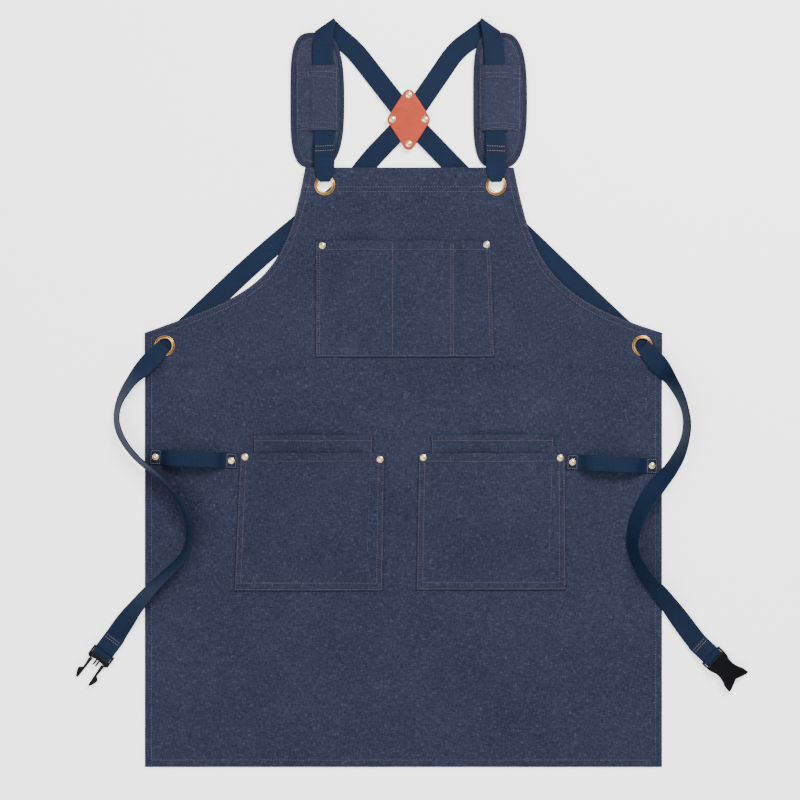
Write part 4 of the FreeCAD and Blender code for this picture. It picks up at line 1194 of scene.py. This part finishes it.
@dataclass
class ShoulderStrap:
    """One strap: sewn end, bib eyelet, over the pad, fold, patch, behind the bib, side eyelet."""
    side: Side
    eyelet: Vector
    top: Vector
    crease_middle: Vector
    crease: Vector
    shoulder: Vector
    patch_level: float
    far_eyelet: Vector
    patch: Vector = field(default_factory=lambda: plan(*PATCH))
    neck: float = 12.5              # gathered width in the eyelet
    doubled: float = 0.2            # between the strap and its sewn-down end
    slant: float = 30.0             # the strap's width measured along its fold

    def leg(self) -> List[Station]:
        """Stations of the part in front of the pad, from the sewn end up."""
        mirror = -self.side.value
        run = (self.top - self.eyelet).normalized()
        across = plan(mirror * run.y, -mirror * run.x)
        full, neck = WEBBING_WIDTH, self.neck
        back = BIB_LIFT - 0.6 - 0.15 - WEBBING / 2
        high = STRAP_LEVEL + WEBBING + self.doubled
        face = BIB_LIFT + CANVAS + 1.0 + 0.75 + WEBBING / 2
        profile = [(52.0, STRAP_LEVEL, full), (46.0, STRAP_LEVEL, full),
                   (38.0, STRAP_LEVEL - 1.7, full), (27.0, back + 0.7, full),
                   (20.5, back, full - 3), (12.0, back, neck + 4), (7.2, back, neck + 1),
                   (4.9, back + 0.4, neck), (4.5, back + 2.6, neck), (4.5, face - 1.2, neck),
                   (5.2, face + 0.2, neck + 2), (9.0, face + 0.2, neck + 6.5),
                   (15.0, face + 0.1, full - 2.4), (22.0, face, full), (36.0, high - 0.5, full),
                   (45.0, high, full), (50.0, high, full), (54.5, STRAP_LEVEL, full)]
        stations = [Station(self.eyelet + run * along + UP * height, across, width)
                    for along, height, width in profile]
        for share in (0.62, 0.3, 0.0):
            spot = self.top + (self.eyelet - self.top) * share
            stations.append(Station(plan(spot.x, spot.y) + UP * STRAP_LEVEL, across))
        return stations

    def fold(self) -> List[Station]:
        """Stations of the turn over the top."""
        outward = UP.cross(self.crease)
        if outward.y < 0:
            outward = -outward
        radius = (STRAP_LEVEL - GROUND_LEVEL) / 2
        axis = self.crease_middle - outward * (radius + WEBBING / 2)
        stations = []
        for angle in (90, 45, 0, -45, -90):
            turn = math.radians(angle)
            push = 1.25 if abs(angle) == 45 else 1.0    # keeps the smoothed turn round
            out = outward * (radius * push * math.cos(turn))
            height = GROUND_LEVEL + radius * (1 + push * math.sin(turn))
            stations.append(Station(axis + out + UP * height, self.crease, self.slant, True))
        return stations

    def tail(self) -> List[Station]:
        """Stations behind the apron, from the fold to the far side eyelet."""
        sign = -self.side.value
        outward = (self.patch - self.shoulder).normalized()
        onward = plan(sign * 0.6985, -0.7156)
        low, level = UP * GROUND_LEVEL, UP * self.patch_level
        behind = plan(83.5, 268.0) if self.side is Side.LEFT else plan(-66.0, 265.0)
        route = [self.crease_middle + (self.shoulder - self.crease_middle) * 0.5 + low,
                 self.shoulder + low, self.patch - outward * 72 + low,
                 self.patch - outward * 40 + level, self.patch - outward * 12 + level,
                 self.patch + onward * 12 + level, self.patch + onward * 40 + level,
                 self.patch + onward * 72 + low, behind + low,
                 plan(sign * 169.6, 185.1) + low, plan(sign * 275.0, 84.5) + low]
        stations = []
        for index, spot in enumerate(route):
            before, after = route[max(index - 1, 0)], route[min(index + 1, len(route) - 1)]
            stations.append(Station(spot, flat_across(after - before) * sign))
        heading = self.far_eyelet - route[-1]
        heading.z = 0
        heading.normalize()
        across = flat_across(heading) * sign
        for along, height, width in ((-11, GROUND_LEVEL, WEBBING_WIDTH), (-2, GROUND_LEVEL, 25.0),
                                     (0.6, GROUND_LEVEL + 0.8, 18.5),
                                     (1.2, GROUND_LEVEL + 2.6, 17.0), (1.2, 4.9, 16.8)):
            stations.append(Station(self.far_eyelet + heading * along + UP * height, across, width))
        return stations

    def build(self, palette: Palette) -> None:
        """Make the strap, and sew its doubled end."""
        band = Band(f"{self.side.word}_shoulder_webbing", self.leg() + self.fold() + self.tail())
        piece = band.build(Body.APRON, palette.webbing)
        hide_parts(f"{self.side.word}_shoulder_strap")
        top = STRAP_LEVEL + WEBBING + self.doubled + WEBBING / 2
        seams = Seams(f"{self.side.word}_strap_bar_seams", lambda x, y: top - 0.02, 3.0, 2.3, 0.34)
        run = (self.top - self.eyelet).normalized()
        side = plan(run.y, -run.x) * 11.6
        tilt = run * (0.7 if self.side is Side.RIGHT else -0.4)
        for along in (43.4, 49.2):
            middle = self.eyelet + run * along
            seams.run_between(middle - side + tilt, middle + side - tilt)
        seams.finish(Body.APRON, palette.contrast, "webbing")


@dataclass
class ToolLoop:
    """A riveted strip of webbing that stands off the cloth for a tool's handle."""
    side: Side
    first: Vector
    last: Vector
    under: Height
    width: float = 19.5
    rise: float = 14.6
    box: Spot = (5.6, 8.2)          # half the sewn box at each rivet: along, across

    def build(self, palette: Palette) -> None:
        """Make the strip."""
        ahead = self.last - self.first
        span = ahead.length
        ahead.normalize()
        across = flat_across(ahead)
        base = WEBBING / 2 + GAP
        profile = [(-7.0, 0.0), (-3.0, 0.0), (4.0, 0.0), (9.5, 0.3), (span * 0.2, self.rise * 0.8),
                   (span * 0.36, self.rise * 1.0), (span * 0.5, self.rise * 1.02),
                   (span * 0.64, self.rise * 1.0), (span * 0.8, self.rise * 0.8),
                   (span - 9.5, 0.3), (span - 4.0, 0.0), (span + 3.0, 0.0), (span + 7.0, 0.0)]
        stations = []
        for along, height in profile:
            spot = self.first + ahead * along
            level = self.under(spot.x, spot.y) + base + height
            stations.append(Station(spot + UP * level, across, self.width))
        band = Band(f"{self.side.word}_loop_webbing", stations, WEBBING, 12)
        piece = band.build(Body.APRON, palette.webbing)
        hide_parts(f"{self.side.word}_tool_loop")
        seams = Seams(f"{self.side.word}_loop_seams",
                      lambda x, y: self.under(x, y) + GAP + WEBBING + 0.02, 2.6, 2.0, 0.3)
        for end, sign in ((self.first, 1), (self.last, -1)):
            reach, wide = ahead * (sign * self.box[0]), across * self.box[1]
            corners = [end - reach + wide, end - reach - wide, end + reach - wide,
                       end + reach + wide, end - reach + wide]
            seams.run([(corner.x, corner.y) for corner in corners], 0.1)
        seams.finish(Body.APRON, palette.contrast, "webbing")


Route = Sequence[Tuple[Tuple[float, float, float], float]]


@dataclass
class WaistTie:
    """One free tie, from its side eyelet to the buckle that it is sewn round."""
    side: Side
    route: Route
    bar: Vector
    heading: Vector
    bar_level: float = 3.5
    bar_radius: float = 1.6
    gathered: Spot = (18.6, 24.4)   # its width in the eyelet and just past it
    slack: float = 0.3              # between the bar and the webbing round it
    flap_level: float = 4.65        # middle of the sewn-down end where its cross seam is

    def stations(self) -> List[Station]:
        """The route's stations, then those round the buckle's bar and back underneath."""
        spots = [Vector(place) for place, _ in self.route]
        stations = []
        for index, (spot, (_, roll)) in enumerate(zip(spots, self.route)):
            before, after = spots[max(index - 1, 0)], spots[min(index + 1, len(spots) - 1)]
            lean = math.radians(roll)
            across = flat_across(after - before) * math.cos(lean) + UP * math.sin(lean)
            width = self.gathered[index] if index < 2 else WEBBING_WIDTH
            stations.append(Station(spot, across, width))
        across = flat_across(self.heading)
        turn = self.bar_radius + self.slack + WEBBING / 2
        level = self.bar_level
        front = 6.6                 # how far the turn reaches past the bar
        ends = [(-22.0, 3.0), (-12.0, 3.9), (-5.0, level + turn - 0.2), (2.0, level + turn + 0.3),
                (front, level + turn * 0.8), (front, level - turn * 0.7),
                (1.0, 1.0), (-6.0, GROUND_LEVEL), (-27.0, GROUND_LEVEL)]
        for along, height in ends:
            spot = self.bar + self.heading * along + UP * height
            stations.append(Station(spot, across))
        return stations

    def build(self, palette: Palette, pieces: Sequence[bpy.types.Object]) -> None:
        """Args:
            palette: the finishes.
            pieces: not used.
        """
        band = Band(f"{self.side.word}_waist_webbing", self.stations(), WEBBING, 12)
        piece = band.build(Body.APRON, palette.webbing)
        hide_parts(f"{self.side.word}_waist_tie")
        band.length() * MM
        self.turned_end(palette)

    def turned_end(self, palette: Palette) -> None:
        """Add the sewn-down end that lies on the tie behind the buckle, and its cross seam."""
        across = flat_across(self.heading)
        top = self.bar_level + self.bar_radius + self.slack + WEBBING + 0.15
        flap = self.flap_level
        profile = [(-25.5, flap - 0.2), (-22.0, flap), (-15.0, flap + 0.6), (-9.0, top + 0.3),
                   (-3.2, top + 1.2)]
        stations = [Station(self.bar + self.heading * along + UP * height, across, 26.0)
                    for along, height in profile]
        band = Band(f"{self.side.word}_tie_turned_end", stations, WEBBING * 0.9, 12)
        band.build(Body.APRON, palette.webbing)

        def upper(x: float, y: float) -> float:
            """The height of the turned end's face under the cross seam."""
            along = (plan(x, y) - self.bar).dot(self.heading)
            return flap + WEBBING * 0.45 + max(along + 22.0, 0.0) * 0.09
        seams = Seams(f"{self.side.word}_tie_seams", upper, 3.0, 2.3, 0.32)
        for along in (-21.5, -18.0):
            middle = self.bar + self.heading * along
            seams.run_between(middle - across * 11.0, middle + across * 11.0)
        seams.finish(Body.APRON, palette.contrast, "webbing")


# Places and rolls, listed: a roll of 0 lies flat, and 90 stands on edge.
LEFT_ROUTE: Route = (
    ((-303.0, 60.0, 5.9), 0), ((-321.0, 40.0, 7.4), 14), ((-346.0, 14.0, 12.2), 52),
    ((-363.0, -18.0, 13.4), 65), ((-362.0, -48.0, 13.2), 64), ((-341.0, -80.0, 14.4), 66),
    ((-308.0, -106.0, 14.6), 70), ((-281.0, -136.0, 14.6), 68), ((-267.0, -172.0, 14.2), 61),
    ((-274.0, -206.0, 14.6), 62), ((-305.0, -234.0, 14.2), 58), ((-335.0, -266.0, 12.4), 42),
    ((-358.0, -297.0, 5.4), 12))
RIGHT_ROUTE: Route = (
    ((303.0, 60.0, 5.9), 0), ((318.0, 42.0, 7.4), 14), ((341.0, 14.0, 12.4), 62),
    ((357.0, -20.0, 13.6), 76), ((359.0, -52.0, 13.4), 74), ((344.0, -90.0, 13.4), 57),
    ((314.0, -125.0, 11.0), 36), ((294.0, -160.0, 12.4), 50), ((287.0, -198.0, 14.8), 62),
    ((305.0, -232.0, 12.6), 50), ((332.0, -262.0, 10.4), 34), ((359.0, -299.0, 4.9), 8))


# ------------------------------------------------------------------------------ leather patch
@dataclass
class CrossPatch:
    """Two leather diamonds riveted together, with the straps crossing between them."""
    centre: Vector = field(default_factory=lambda: plan(*PATCH))
    half_width: float = 27.0
    half_height: float = 38.0
    tip: float = 7.5
    thick: float = 1.6
    back_level: float = 0.9
    front_level: float = 5.9
    rivets: Tuple[Spot, ...] = ((0.0, 31.0), (-20.6, 0.0), (20.6, 0.0), (0.0, -31.0))

    def outline(self, inset: float) -> List[Spot]:
        """The rounded diamond, drawn in by an inset."""
        reach = (self.half_width - self.tip, self.half_height - self.tip)
        radius = self.tip - inset
        tilt = math.atan2(reach[0], reach[1])
        corners = (((reach[0], 0), -tilt, tilt), ((0, reach[1]), tilt, math.pi - tilt),
                   ((-reach[0], 0), math.pi - tilt, math.pi + tilt),
                   ((0, -reach[1]), math.pi + tilt, 2 * math.pi - tilt))
        spots: List[Spot] = []
        for (x, y), first, last in corners:
            for step in range(13):
                angle = first + (last - first) * step / 12
                spots.append((x + radius * math.cos(angle), y + radius * math.sin(angle)))
        full: List[Spot] = []
        for index, (x, y) in enumerate(spots):
            full.append((x, y))
            ax, ay = spots[(index + 1) % len(spots)]
            if math.hypot(ax - x, ay - y) > 6:
                full += [(x + (ax - x) * k / 12, y + (ay - y) * k / 12) for k in range(1, 12)]
        return full

    def leather(self, name: str, node: str, level: float, palette: Palette) -> None:
        """Make one leather, with cut edges eased and its face pressed down round the rivets."""
        draft = Draft(name)
        top, inmost = 1.66, 6.6
        layers = [(3.6, 0.0), (0.5, 0.0), (0.12, 0.12), (0.0, 0.4), (0.0, 1.1), (0.1, 1.36),
                  (0.35, 1.52), (0.8, 1.58), (2.2, 1.62), (4.4, 1.64), (inmost, top)]
        rings = []
        for inset, height in layers:
            ring = []
            for x, y in self.outline(inset):
                ring.append((self.centre.x + x, self.centre.y + y, level + height))
            rings.append(draft.ring(ring))
        for first, second in zip(rings, rings[1:]):
            draft.join(first, second)
        inner = self.outline(inmost)
        last = rings[-1]
        for scale in (0.85, 0.7, 0.55, 0.4, 0.25, 0.12):
            ring = []
            for x, y in inner:
                px, py = x * scale, y * scale
                dent = sum(ridge(math.hypot(px - rx, py - ry), 0.0, 6.0)
                           for rx, ry in self.rivets)
                swell = 0.10 * rumple(px, py, 18.0, 9.0) - 0.12 * dent
                ring.append((self.centre.x + px, self.centre.y + py, level + top + swell))
            row = draft.ring(ring)
            draft.join(last, row)
            last = row
        tip = draft.point((self.centre.x, self.centre.y, level + top))
        low = draft.point((self.centre.x, self.centre.y, level))
        draft.bridge([tip], last)
        draft.bridge([low], rings[0][::-1])
        piece = draft.piece(Body.APRON, palette.leather, "patch_leather")
        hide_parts(node)

    def build(self, palette: Palette) -> None:
        """Make both leathers and their rivet caps."""
        for word, level in (("back", self.back_level), ("front", self.front_level)):
            self.leather(f"cross_patch_{word}_leather", f"cross_patch_{word}", level, palette)
        draft = Draft("cross_patch_caps")
        for x, y in self.rivets:
            top = self.front_level + self.thick - 0.02
            rivet_cap(draft, Vector((self.centre.x + x, self.centre.y + y, top)))
        piece = draft.piece(Body.APRON, palette.cap, "antique_brass")
        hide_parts("cross_patch_rivet_caps")
        dress_node("cross_patch_rivet_posts", palette.brass)


# ------------------------------------------------------------------------------ shoulder pads
@dataclass
class ShoulderPad:
    """One pad: a stuffed cushion, its bound edge, and the sleeve that the strap runs through."""
    side: Side
    centre: Vector
    strap_middle: float
    seams_at: Tuple[float, ...]
    half_width: float = 34.4
    half_length: float = 86.0
    floor: float = 0.2
    sleeve: float = 83.0
    sleeve_half: float = 27.2
    lift: Tuple[float, float, float] = (394.0, 422.0, 2.1)

    @property
    def body(self) -> Body:
        """The body this pad is."""
        return Body.LEFT_PAD if self.side is Side.LEFT else Body.RIGHT_PAD

    @property
    def sleeve_low(self) -> float:
        """The level of the sleeve's lower end."""
        return self.centre.y + 2.2 - self.sleeve / 2

    @staticmethod
    def roundness(east: float) -> float:
        """The power of the outline's curve: squarer on the left."""
        return 2.8 if east > 0 else 3.8

    def raised(self, y: float) -> float:
        """How far the strap behind lifts the pad's rim at a level."""
        start, end, rise = self.lift
        return rise * ease(start, end, y)

    def outline(self, inset: float, count: int = 120) -> List[Spot]:
        """The pad's rounded oblong, drawn in by an inset."""
        across, along = self.half_width - inset, self.half_length - inset
        spots = []
        for step in range(count):
            angle = 2 * math.pi * step / count
            east, north = math.cos(angle), math.sin(angle)
            power = 2 / self.roundness(east)
            spots.append((self.centre.x + across * math.copysign(abs(east) ** power, east),
                          self.centre.y + along * math.copysign(abs(north) ** power, north)))
        return spots

    def inset(self, x: float, y: float) -> float:
        """About how far inside the outline a place is."""
        east, north = x - self.centre.x, y - self.centre.y
        power = self.roundness(east)
        reach = abs(east / self.half_width) ** power + abs(north / self.half_length) ** power
        return self.half_width * (1 - reach ** (1 / power))

    def rim(self, y: float) -> float:
        """The height of the cloth at the sewn rim."""
        return self.floor + 1.85 + self.raised(y)

    def face(self, x: float, y: float) -> float:
        """The height of the stuffed face."""
        rim = self.rim(y)
        tip = self.centre.y - self.half_length
        thin, full = 2.65, PAD_CROWN - 0.05
        crown = thin + (full - thin) * ease(tip + 14, tip + 46, y)
        inside = max(self.inset(x, y) - 4.6, 0.0)
        level = rim + max(crown - rim, 0.4) * (1 - math.exp(-inside / 3.2))
        over = abs(x - self.centre.x) < 27
        for seam in self.seams_at:
            level -= (0.8 if over else 0.3) * ridge(y, seam, 3.0) * (crown > 4)
        pucker = 0.42 * math.exp(-((inside - 2.0) / 3.6) ** 2)
        return level + pucker * rumple(x, y, 5.6, 60.0 + self.side.value)

    def cushion(self, palette: Palette) -> None:
        """Make the stuffed part: pressed out by cloth simulation, held at its rim and seams."""
        draft = Draft(f"{self.side.word}_pad_cushion")
        sewn = 4.2                  # the edge's tape covers this much
        insets = (2.6, sewn, 5.0, 5.9, 7.0, 8.4, 10.2, 12.2, 14.4, 16.8, 19.2, 21.6, 24.0, 26.4,
                  28.8, 31.0, 32.8)
        tops, lows = [], []
        for inset in insets:
            spots = self.outline(inset)
            tops.append(draft.ring([(x, y, self.face(x, y) if inset > sewn else self.rim(y))
                                    for x, y in spots]))
            lows.append(draft.ring([(x, y, self.rim(y) - 1.1) for x, y in spots]))
        for rows, flip in ((tops, False), (lows, True)):
            for first, second in zip(rows, rows[1:]):
                draft.join(*((second, first) if flip else (first, second)))
            draft.faces.append(tuple(reversed(rows[-1])) if flip else tuple(rows[-1]))
        draft.join(lows[0], tops[0])
        piece = draft.piece(self.body, palette.pad, "pad_canvas")
        self.press_out(piece)
        subdivide(piece)
        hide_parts(f"{self.side.word}_pad_front", f"{self.side.word}_pad_back",
                    f"{self.side.word}_pad_foam")

    def press_out(self, piece: bpy.types.Object, cap: float = 1.3) -> None:
        """Blow the cushion up a little inside its held rim and seams.

        Args:
            piece: the cushion, whose mesh is changed.
            cap: how far a point may move.
        """
        mesh = piece.data
        rest = [Vector(vertex.co) / MM for vertex in mesh.vertices]
        steps = 20
        pins = piece.vertex_groups.new(name="pins")
        for index, spot in enumerate(rest):
            hold = 1.0 if self.inset(spot.x, spot.y) < 5.4 else 0.0
            if abs(spot.x - self.centre.x) < 29:
                hold = max(hold, max(ridge(spot.y, seam, 2.4) for seam in self.seams_at))
            if spot.z < self.rim(spot.y) - 0.6:
                hold = 1.0
            pins.add([index], min(hold, 1.0), "REPLACE")
        air = piece.modifiers.new("air", "CLOTH")
        settings = {"quality": 5, "mass": 0.25, "tension_stiffness": 12,
                    "compression_stiffness": 8, "shear_stiffness": 4, "bending_stiffness": 0.3,
                    "vertex_group_mass": "pins", "use_pressure": True,
                    "uniform_pressure_force": 4.0}
        for name, setting in settings.items():
            setattr(air.settings, name, setting)
        air.settings.effector_weights.gravity = 0.0
        air.collision_settings.use_collision = False
        scene = bpy.context.scene
        for step in range(1, steps + 1):
            scene.frame_set(step)
        solved = piece.evaluated_get(bpy.context.evaluated_depsgraph_get()).to_mesh()
        ends = [Vector(vertex.co) / MM for vertex in solved.vertices]
        piece.modifiers.remove(air)
        scene.frame_set(1)
        for vertex, start, end in zip(mesh.vertices, rest, ends):
            move = end - start
            if move.length > cap:
                move *= cap / move.length
            spot = start + move
            if abs(spot.x - self.centre.x) < 28.5 and 0 < spot.y - self.sleeve_low < self.sleeve:
                spot.z = min(spot.z, start.z + 0.12)
            if abs(spot.x - self.strap_middle) < 15:
                spot.z = min(spot.z, max(start.z, PAD_CROWN + 0.05))
            vertex.co = spot * MM
        mesh.update()

    def binding(self, palette: Palette) -> None:
        """Make the bound edge, with its overlocked thread."""
        draft = Draft(f"{self.side.word}_pad_edge")
        count = 320
        profile = [(0.55, 0.0), (0.12, 0.35), (0.0, 1.05), (0.05, 1.75), (0.35, 2.3), (1.0, 2.55),
                   (2.4, 2.62), (4.0, 2.58), (4.9, 2.42), (5.2, 2.1), (5.15, 1.5), (5.15, 1.1),
                   (5.2, 0.55), (4.9, 0.16), (3.6, 0.02), (1.8, 0.0)]
        rings = []
        for inset, height in profile:
            ring = []
            for step, (x, y) in enumerate(self.outline(inset, count)):
                wave = rumple(step * 0.9, inset * 2.0, 3.1, 70.0 + self.side.value)
                top = ease(0.6, 2.3, height)
                ring.append((x, y, self.floor + self.raised(y) + height + 0.16 * wave * top))
            rings.append(draft.ring(ring))
        for first, second in zip(rings, rings[1:] + rings[:1]):
            draft.join(first, second)
        piece = draft.piece(self.body, palette.binding, "pad_binding")
        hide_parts(f"{self.side.word}_pad_binding")
        over = Seams(f"{self.side.word}_pad_edge_thread", self.edge_top, 1.5, 4.6, 0.2)
        outer, inner = self.outline(0.5, 300), self.outline(5.0, 300)
        for (x, y), (u, v) in zip(outer[::2], inner[::2]):
            ahead = plan(u - x, v - y).normalized()
            slant = (ahead + plan(-ahead.y, ahead.x) * 0.35).normalized()
            over.stitch(plan((x + u) / 2, (y + v) / 2), slant)
        over.finish(self.body, palette.overlock, "pad_binding")
        inner_seam = Seams(f"{self.side.word}_pad_seams", self.face, 3.2, 2.5, 0.3)
        loop = self.outline(8.6, 160)
        inner_seam.run(loop + loop[:1], 0.4)
        inner_seam.finish(self.body, palette.thread, "pad_canvas")

    def edge_top(self, x: float, y: float) -> float:
        """The height of the binding's top."""
        inset = min(max(self.inset(x, y), 0.0), 5.2)
        round_off = 0.55 * eased_edge(inset, 1.0) + 0.3 * ease(4.2, 5.2, inset)
        return self.floor + self.raised(y) + 2.42 - round_off

    def bridge(self, x: float, y: float) -> float:
        """The height of the sleeve's face, over the pad and over the webbing in it."""
        off = abs(x - self.strap_middle)
        over = STRAP_LEVEL + WEBBING / 2 + 0.5 + LINING
        on_pad = self.face(x, y) + LINING + 0.12
        level = on_pad + (over - on_pad) * (1 - ease(13.0, 18.5, off))
        end = min(y - self.sleeve_low, self.sleeve_low + self.sleeve - y)
        pinch = max(ridge(y, seam, 3.2) for seam in self.seams_at)
        level -= 0.35 * pinch * ease(12, 15, off)
        level += 0.24 * (1 - ease(13.5, 15.0, end))
        side = self.sleeve_half - abs(x - self.centre.x + 0.2)
        level -= 0.3 * eased_edge(min(side, end), 1.0)
        pucker = 0.3 * pinch + 0.22 * ridge(side, 3.5, 3.5)
        level += pucker * rumple(x, y, 5.0, 80.0 + self.side.value)
        return level + 0.22 * rumple(x, y, 16.0, 85.0 + self.side.value) * ease(0, 8, end)

    def sew_sleeve(self, palette: Palette) -> None:
        """Make the sleeve and its cross seams."""
        draft = Draft(f"{self.side.word}_pad_sleeve_cloth")
        low, middle = self.sleeve_low, self.centre.x - 0.2
        margins = (0.0, 0.5, 1.2, 2.6, 4.4)
        columns = spread(middle - self.sleeve_half, middle + self.sleeve_half, margins, 1.5)
        levels = spread(low, low + self.sleeve, margins, 1.8)
        rows = [[Vector((x, y, self.bridge(x, y))) for x in columns] for y in levels]
        cloth(draft, rows, LINING)
        piece = draft.piece(self.body, palette.pad, "pad_canvas")
        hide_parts(f"{self.side.word}_pad_sleeve")
        seams = Seams(f"{self.side.word}_sleeve_seams", self.bridge, 3.2, 2.5, 0.32)
        for index, y in enumerate(self.seams_at):
            bow = 1.6 if index % 2 else 0.8
            line = [(self.centre.x - 25.6, y - bow), (self.centre.x - 9.0, y + bow),
                    (self.centre.x + 10.0, y + bow * 0.6), (self.centre.x + 25.4, y - bow * 0.7)]
            seams.run(line, 0.5)
        for sign in (-1, 1):
            x = middle + sign * 24.6
            seams.run([(x, low + 3.0), (x, low + self.sleeve - 3.0)], 0.35)
        seams.finish(self.body, palette.thread, "pad_canvas")

    def build(self, palette: Palette) -> None:
        """Make the whole pad."""
        self.cushion(palette)
        self.binding(palette)
        self.sew_sleeve(palette)


def subdivide(piece: bpy.types.Object) -> None:
    """Smooth a finished mesh by one level of subdivision, applied."""
    piece.modifiers.new("smooth", "SUBSURF").levels = 1
    done = bpy.data.meshes.new_from_object(
        piece.evaluated_get(bpy.context.evaluated_depsgraph_get()))
    piece.modifiers.clear()
    old = piece.data
    piece.data = done
    bpy.data.meshes.remove(old)
    for polygon in done.polygons:
        polygon.use_smooth = True


# ------------------------------------------------------------------------------ buckles
class Buckles:
    """The two halves of the side-release buckle, with moulded edges."""

    parts: Dict[str, Tuple[str, Body]] = {
        "male_buckle_frame": ("male_buckle_body", Body.MALE_BUCKLE),
        "male_buckle_prong_left": ("male_buckle_left_prong", Body.LEFT_PRONG),
        "male_buckle_prong_right": ("male_buckle_right_prong", Body.RIGHT_PRONG),
        "female_buckle_shell": ("female_buckle_body", Body.FEMALE_BUCKLE)}

    def build(self, palette: Palette) -> Dict[str, bpy.types.Object]:
        """Make every piece of both halves.

        Args:
            palette: the finishes.
        Returns:
            The pieces by name.
        """
        return {name: self.moulded(name, node, body, palette)
                for name, (node, body) in self.parts.items()}

    @staticmethod
    def moulded(name: str, node: str, body: Body, palette: Palette) -> bpy.types.Object:
        """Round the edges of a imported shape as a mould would."""
        weld, flat, corner, radius = 2e-6, math.radians(2.0), math.radians(35.0), 0.00045
        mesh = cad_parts[node].data.copy()
        mesh.name = name
        work = bmesh.new()
        work.from_mesh(mesh)
        bmesh.ops.remove_doubles(work, verts=work.verts, dist=weld)
        bmesh.ops.dissolve_limit(work, angle_limit=flat, verts=work.verts, edges=work.edges)
        sharp = [edge for edge in work.edges if len(edge.link_faces) == 2
                 and edge.calc_face_angle(0.0) > corner]
        bmesh.ops.bevel(work, geom=sharp, offset=radius, segments=2, profile=0.6,
                        affect="EDGES", clamp_overlap=True)
        bmesh.ops.triangulate(work, faces=[f for f in work.faces if len(f.verts) > 4])
        work.to_mesh(mesh)
        work.free()
        piece = show(name, mesh)
        dress(piece, palette.plastic)
        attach(piece, body.value)
        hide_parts(node)
        LOG.info("%s made, on %s", name, body.value)
        return piece


# ------------------------------------------------------------------------------ studio
class Studio:
    """The pale floor, the soft lights and the camera straight above."""

    def build(self, palette: Palette) -> None:
        """Set everything up."""
        self.floor(palette)
        self.light("key", (1.1, 1.7, 2.3), 1.2, 150.0)
        self.light("fill", (-1.7, -0.6, 2.5), 2.4, 60.0)
        self.light("front", (0.3, -2.4, 1.7), 2.0, 26.0)
        world = bpy.data.worlds.new("studio")
        bpy.context.scene.world = world
        world.use_nodes = True
        sky = world.node_tree.nodes["Background"].inputs
        sky["Color"].default_value, sky["Strength"].default_value = (0.94, 0.96, 1.0, 1.0), 0.85
        self.camera()

    @staticmethod
    def floor(palette: Palette) -> None:
        """Lay the floor just below the apron."""
        mesh = bpy.data.meshes.new("floor")
        reach, level = 14.0, -0.0006
        mesh.from_pydata([(-reach, -reach, level), (reach, -reach, level), (reach, reach, level),
                          (-reach, reach, level)], [], [(0, 1, 2, 3)])
        thing = show("floor", mesh)
        dress(thing, palette.floor)

    @staticmethod
    def light(name: str, place: Tuple[float, float, float], size: float, watts: float) -> None:
        """Hang one square soft light that looks at the apron's middle."""
        lamp = bpy.data.lights.new(name, "AREA")
        lamp.energy, lamp.size = watts, size
        thing = show(name, lamp)
        thing.location = place
        thing.rotation_euler = (-Vector(place)).to_track_quat("-Z", "Y").to_euler()

    @staticmethod
    def camera() -> None:
        """Look straight down with a long lens, a metre of floor across the frame."""
        data = bpy.data.cameras.new("camera")
        data.lens, data.sensor_width = 85.0, 36.0
        thing = show("camera", data)
        thing.location = (-0.0044, -0.0090, 2.399)
        bpy.context.scene.camera = thing


# ------------------------------------------------------------------------------ everything
def main() -> None:
    """Build the studio and every sub-assembly, in order."""
    logging.basicConfig(level=logging.INFO, format="%(name)s: %(message)s")
    palette = Palette()
    Studio().build(palette)
    buckles = Buckles().build(palette)
    male = [piece for name, piece in buckles.items() if name.startswith("male")]
    WaistTie(Side.LEFT, LEFT_ROUTE, plan(-380.0, -329.0),
             plan(-0.59, -0.807).normalized()).build(palette, male)
    WaistTie(Side.RIGHT, RIGHT_ROUTE, plan(390.0, -333.3),
             plan(0.727, -0.687).normalized()).build(palette, [buckles["female_buckle_shell"]])
    shape = BodyCloth()
    shape.build(palette)
    sew_body(shape, palette)
    chest, left_front, right_front = make_pockets(shape, palette)
    ends = [plan(*spot) for spot in RIVETS["tool_loop"]]
    ToolLoop(Side.LEFT, ends[0], ends[1], shape.plain).build(palette)
    ToolLoop(Side.RIGHT, ends[2], ends[3], shape.plain).build(palette)

    def lower(x: float, y: float) -> float:
        """The face of whichever skirt pocket is nearer."""
        return (left_front if x < 0 else right_front).face(x, y)
    make_rivets(palette, {"chest_pocket": chest.face, "lower_pocket": lower,
                          "tool_loop": lambda x, y: shape.plain(x, y) + GAP + WEBBING})
    make_eyelets(shape, palette)
    near, far = [plan(*spot) for spot in BIB_EYELETS], [plan(*spot) for spot in SIDE_EYELETS]
    ShoulderStrap(Side.LEFT, near[0], plan(-102.9, 446.0), plan(-100.5, 467.0),
                  plan(0.819, 0.574), plan(-61.5, 434.5), 3.4, far[1]).build(palette)
    ShoulderStrap(Side.RIGHT, near[1], plan(114.6, 446.0), plan(111.0, 467.0),
                  plan(-0.819, 0.574), plan(66.4, 434.8), 5.0, far[0]).build(palette)
    CrossPatch().build(palette)
    ShoulderPad(Side.LEFT, plan(-109.3, 371.3), -102.2,
                (406.0, 399.4, 342.0, 334.6)).build(palette)
    ShoulderPad(Side.RIGHT, plan(122.7, 371.3), 115.9,
                (405.0, 399.0, 341.0, 334.2)).build(palette)


if __name__ == "__main__":
    main()
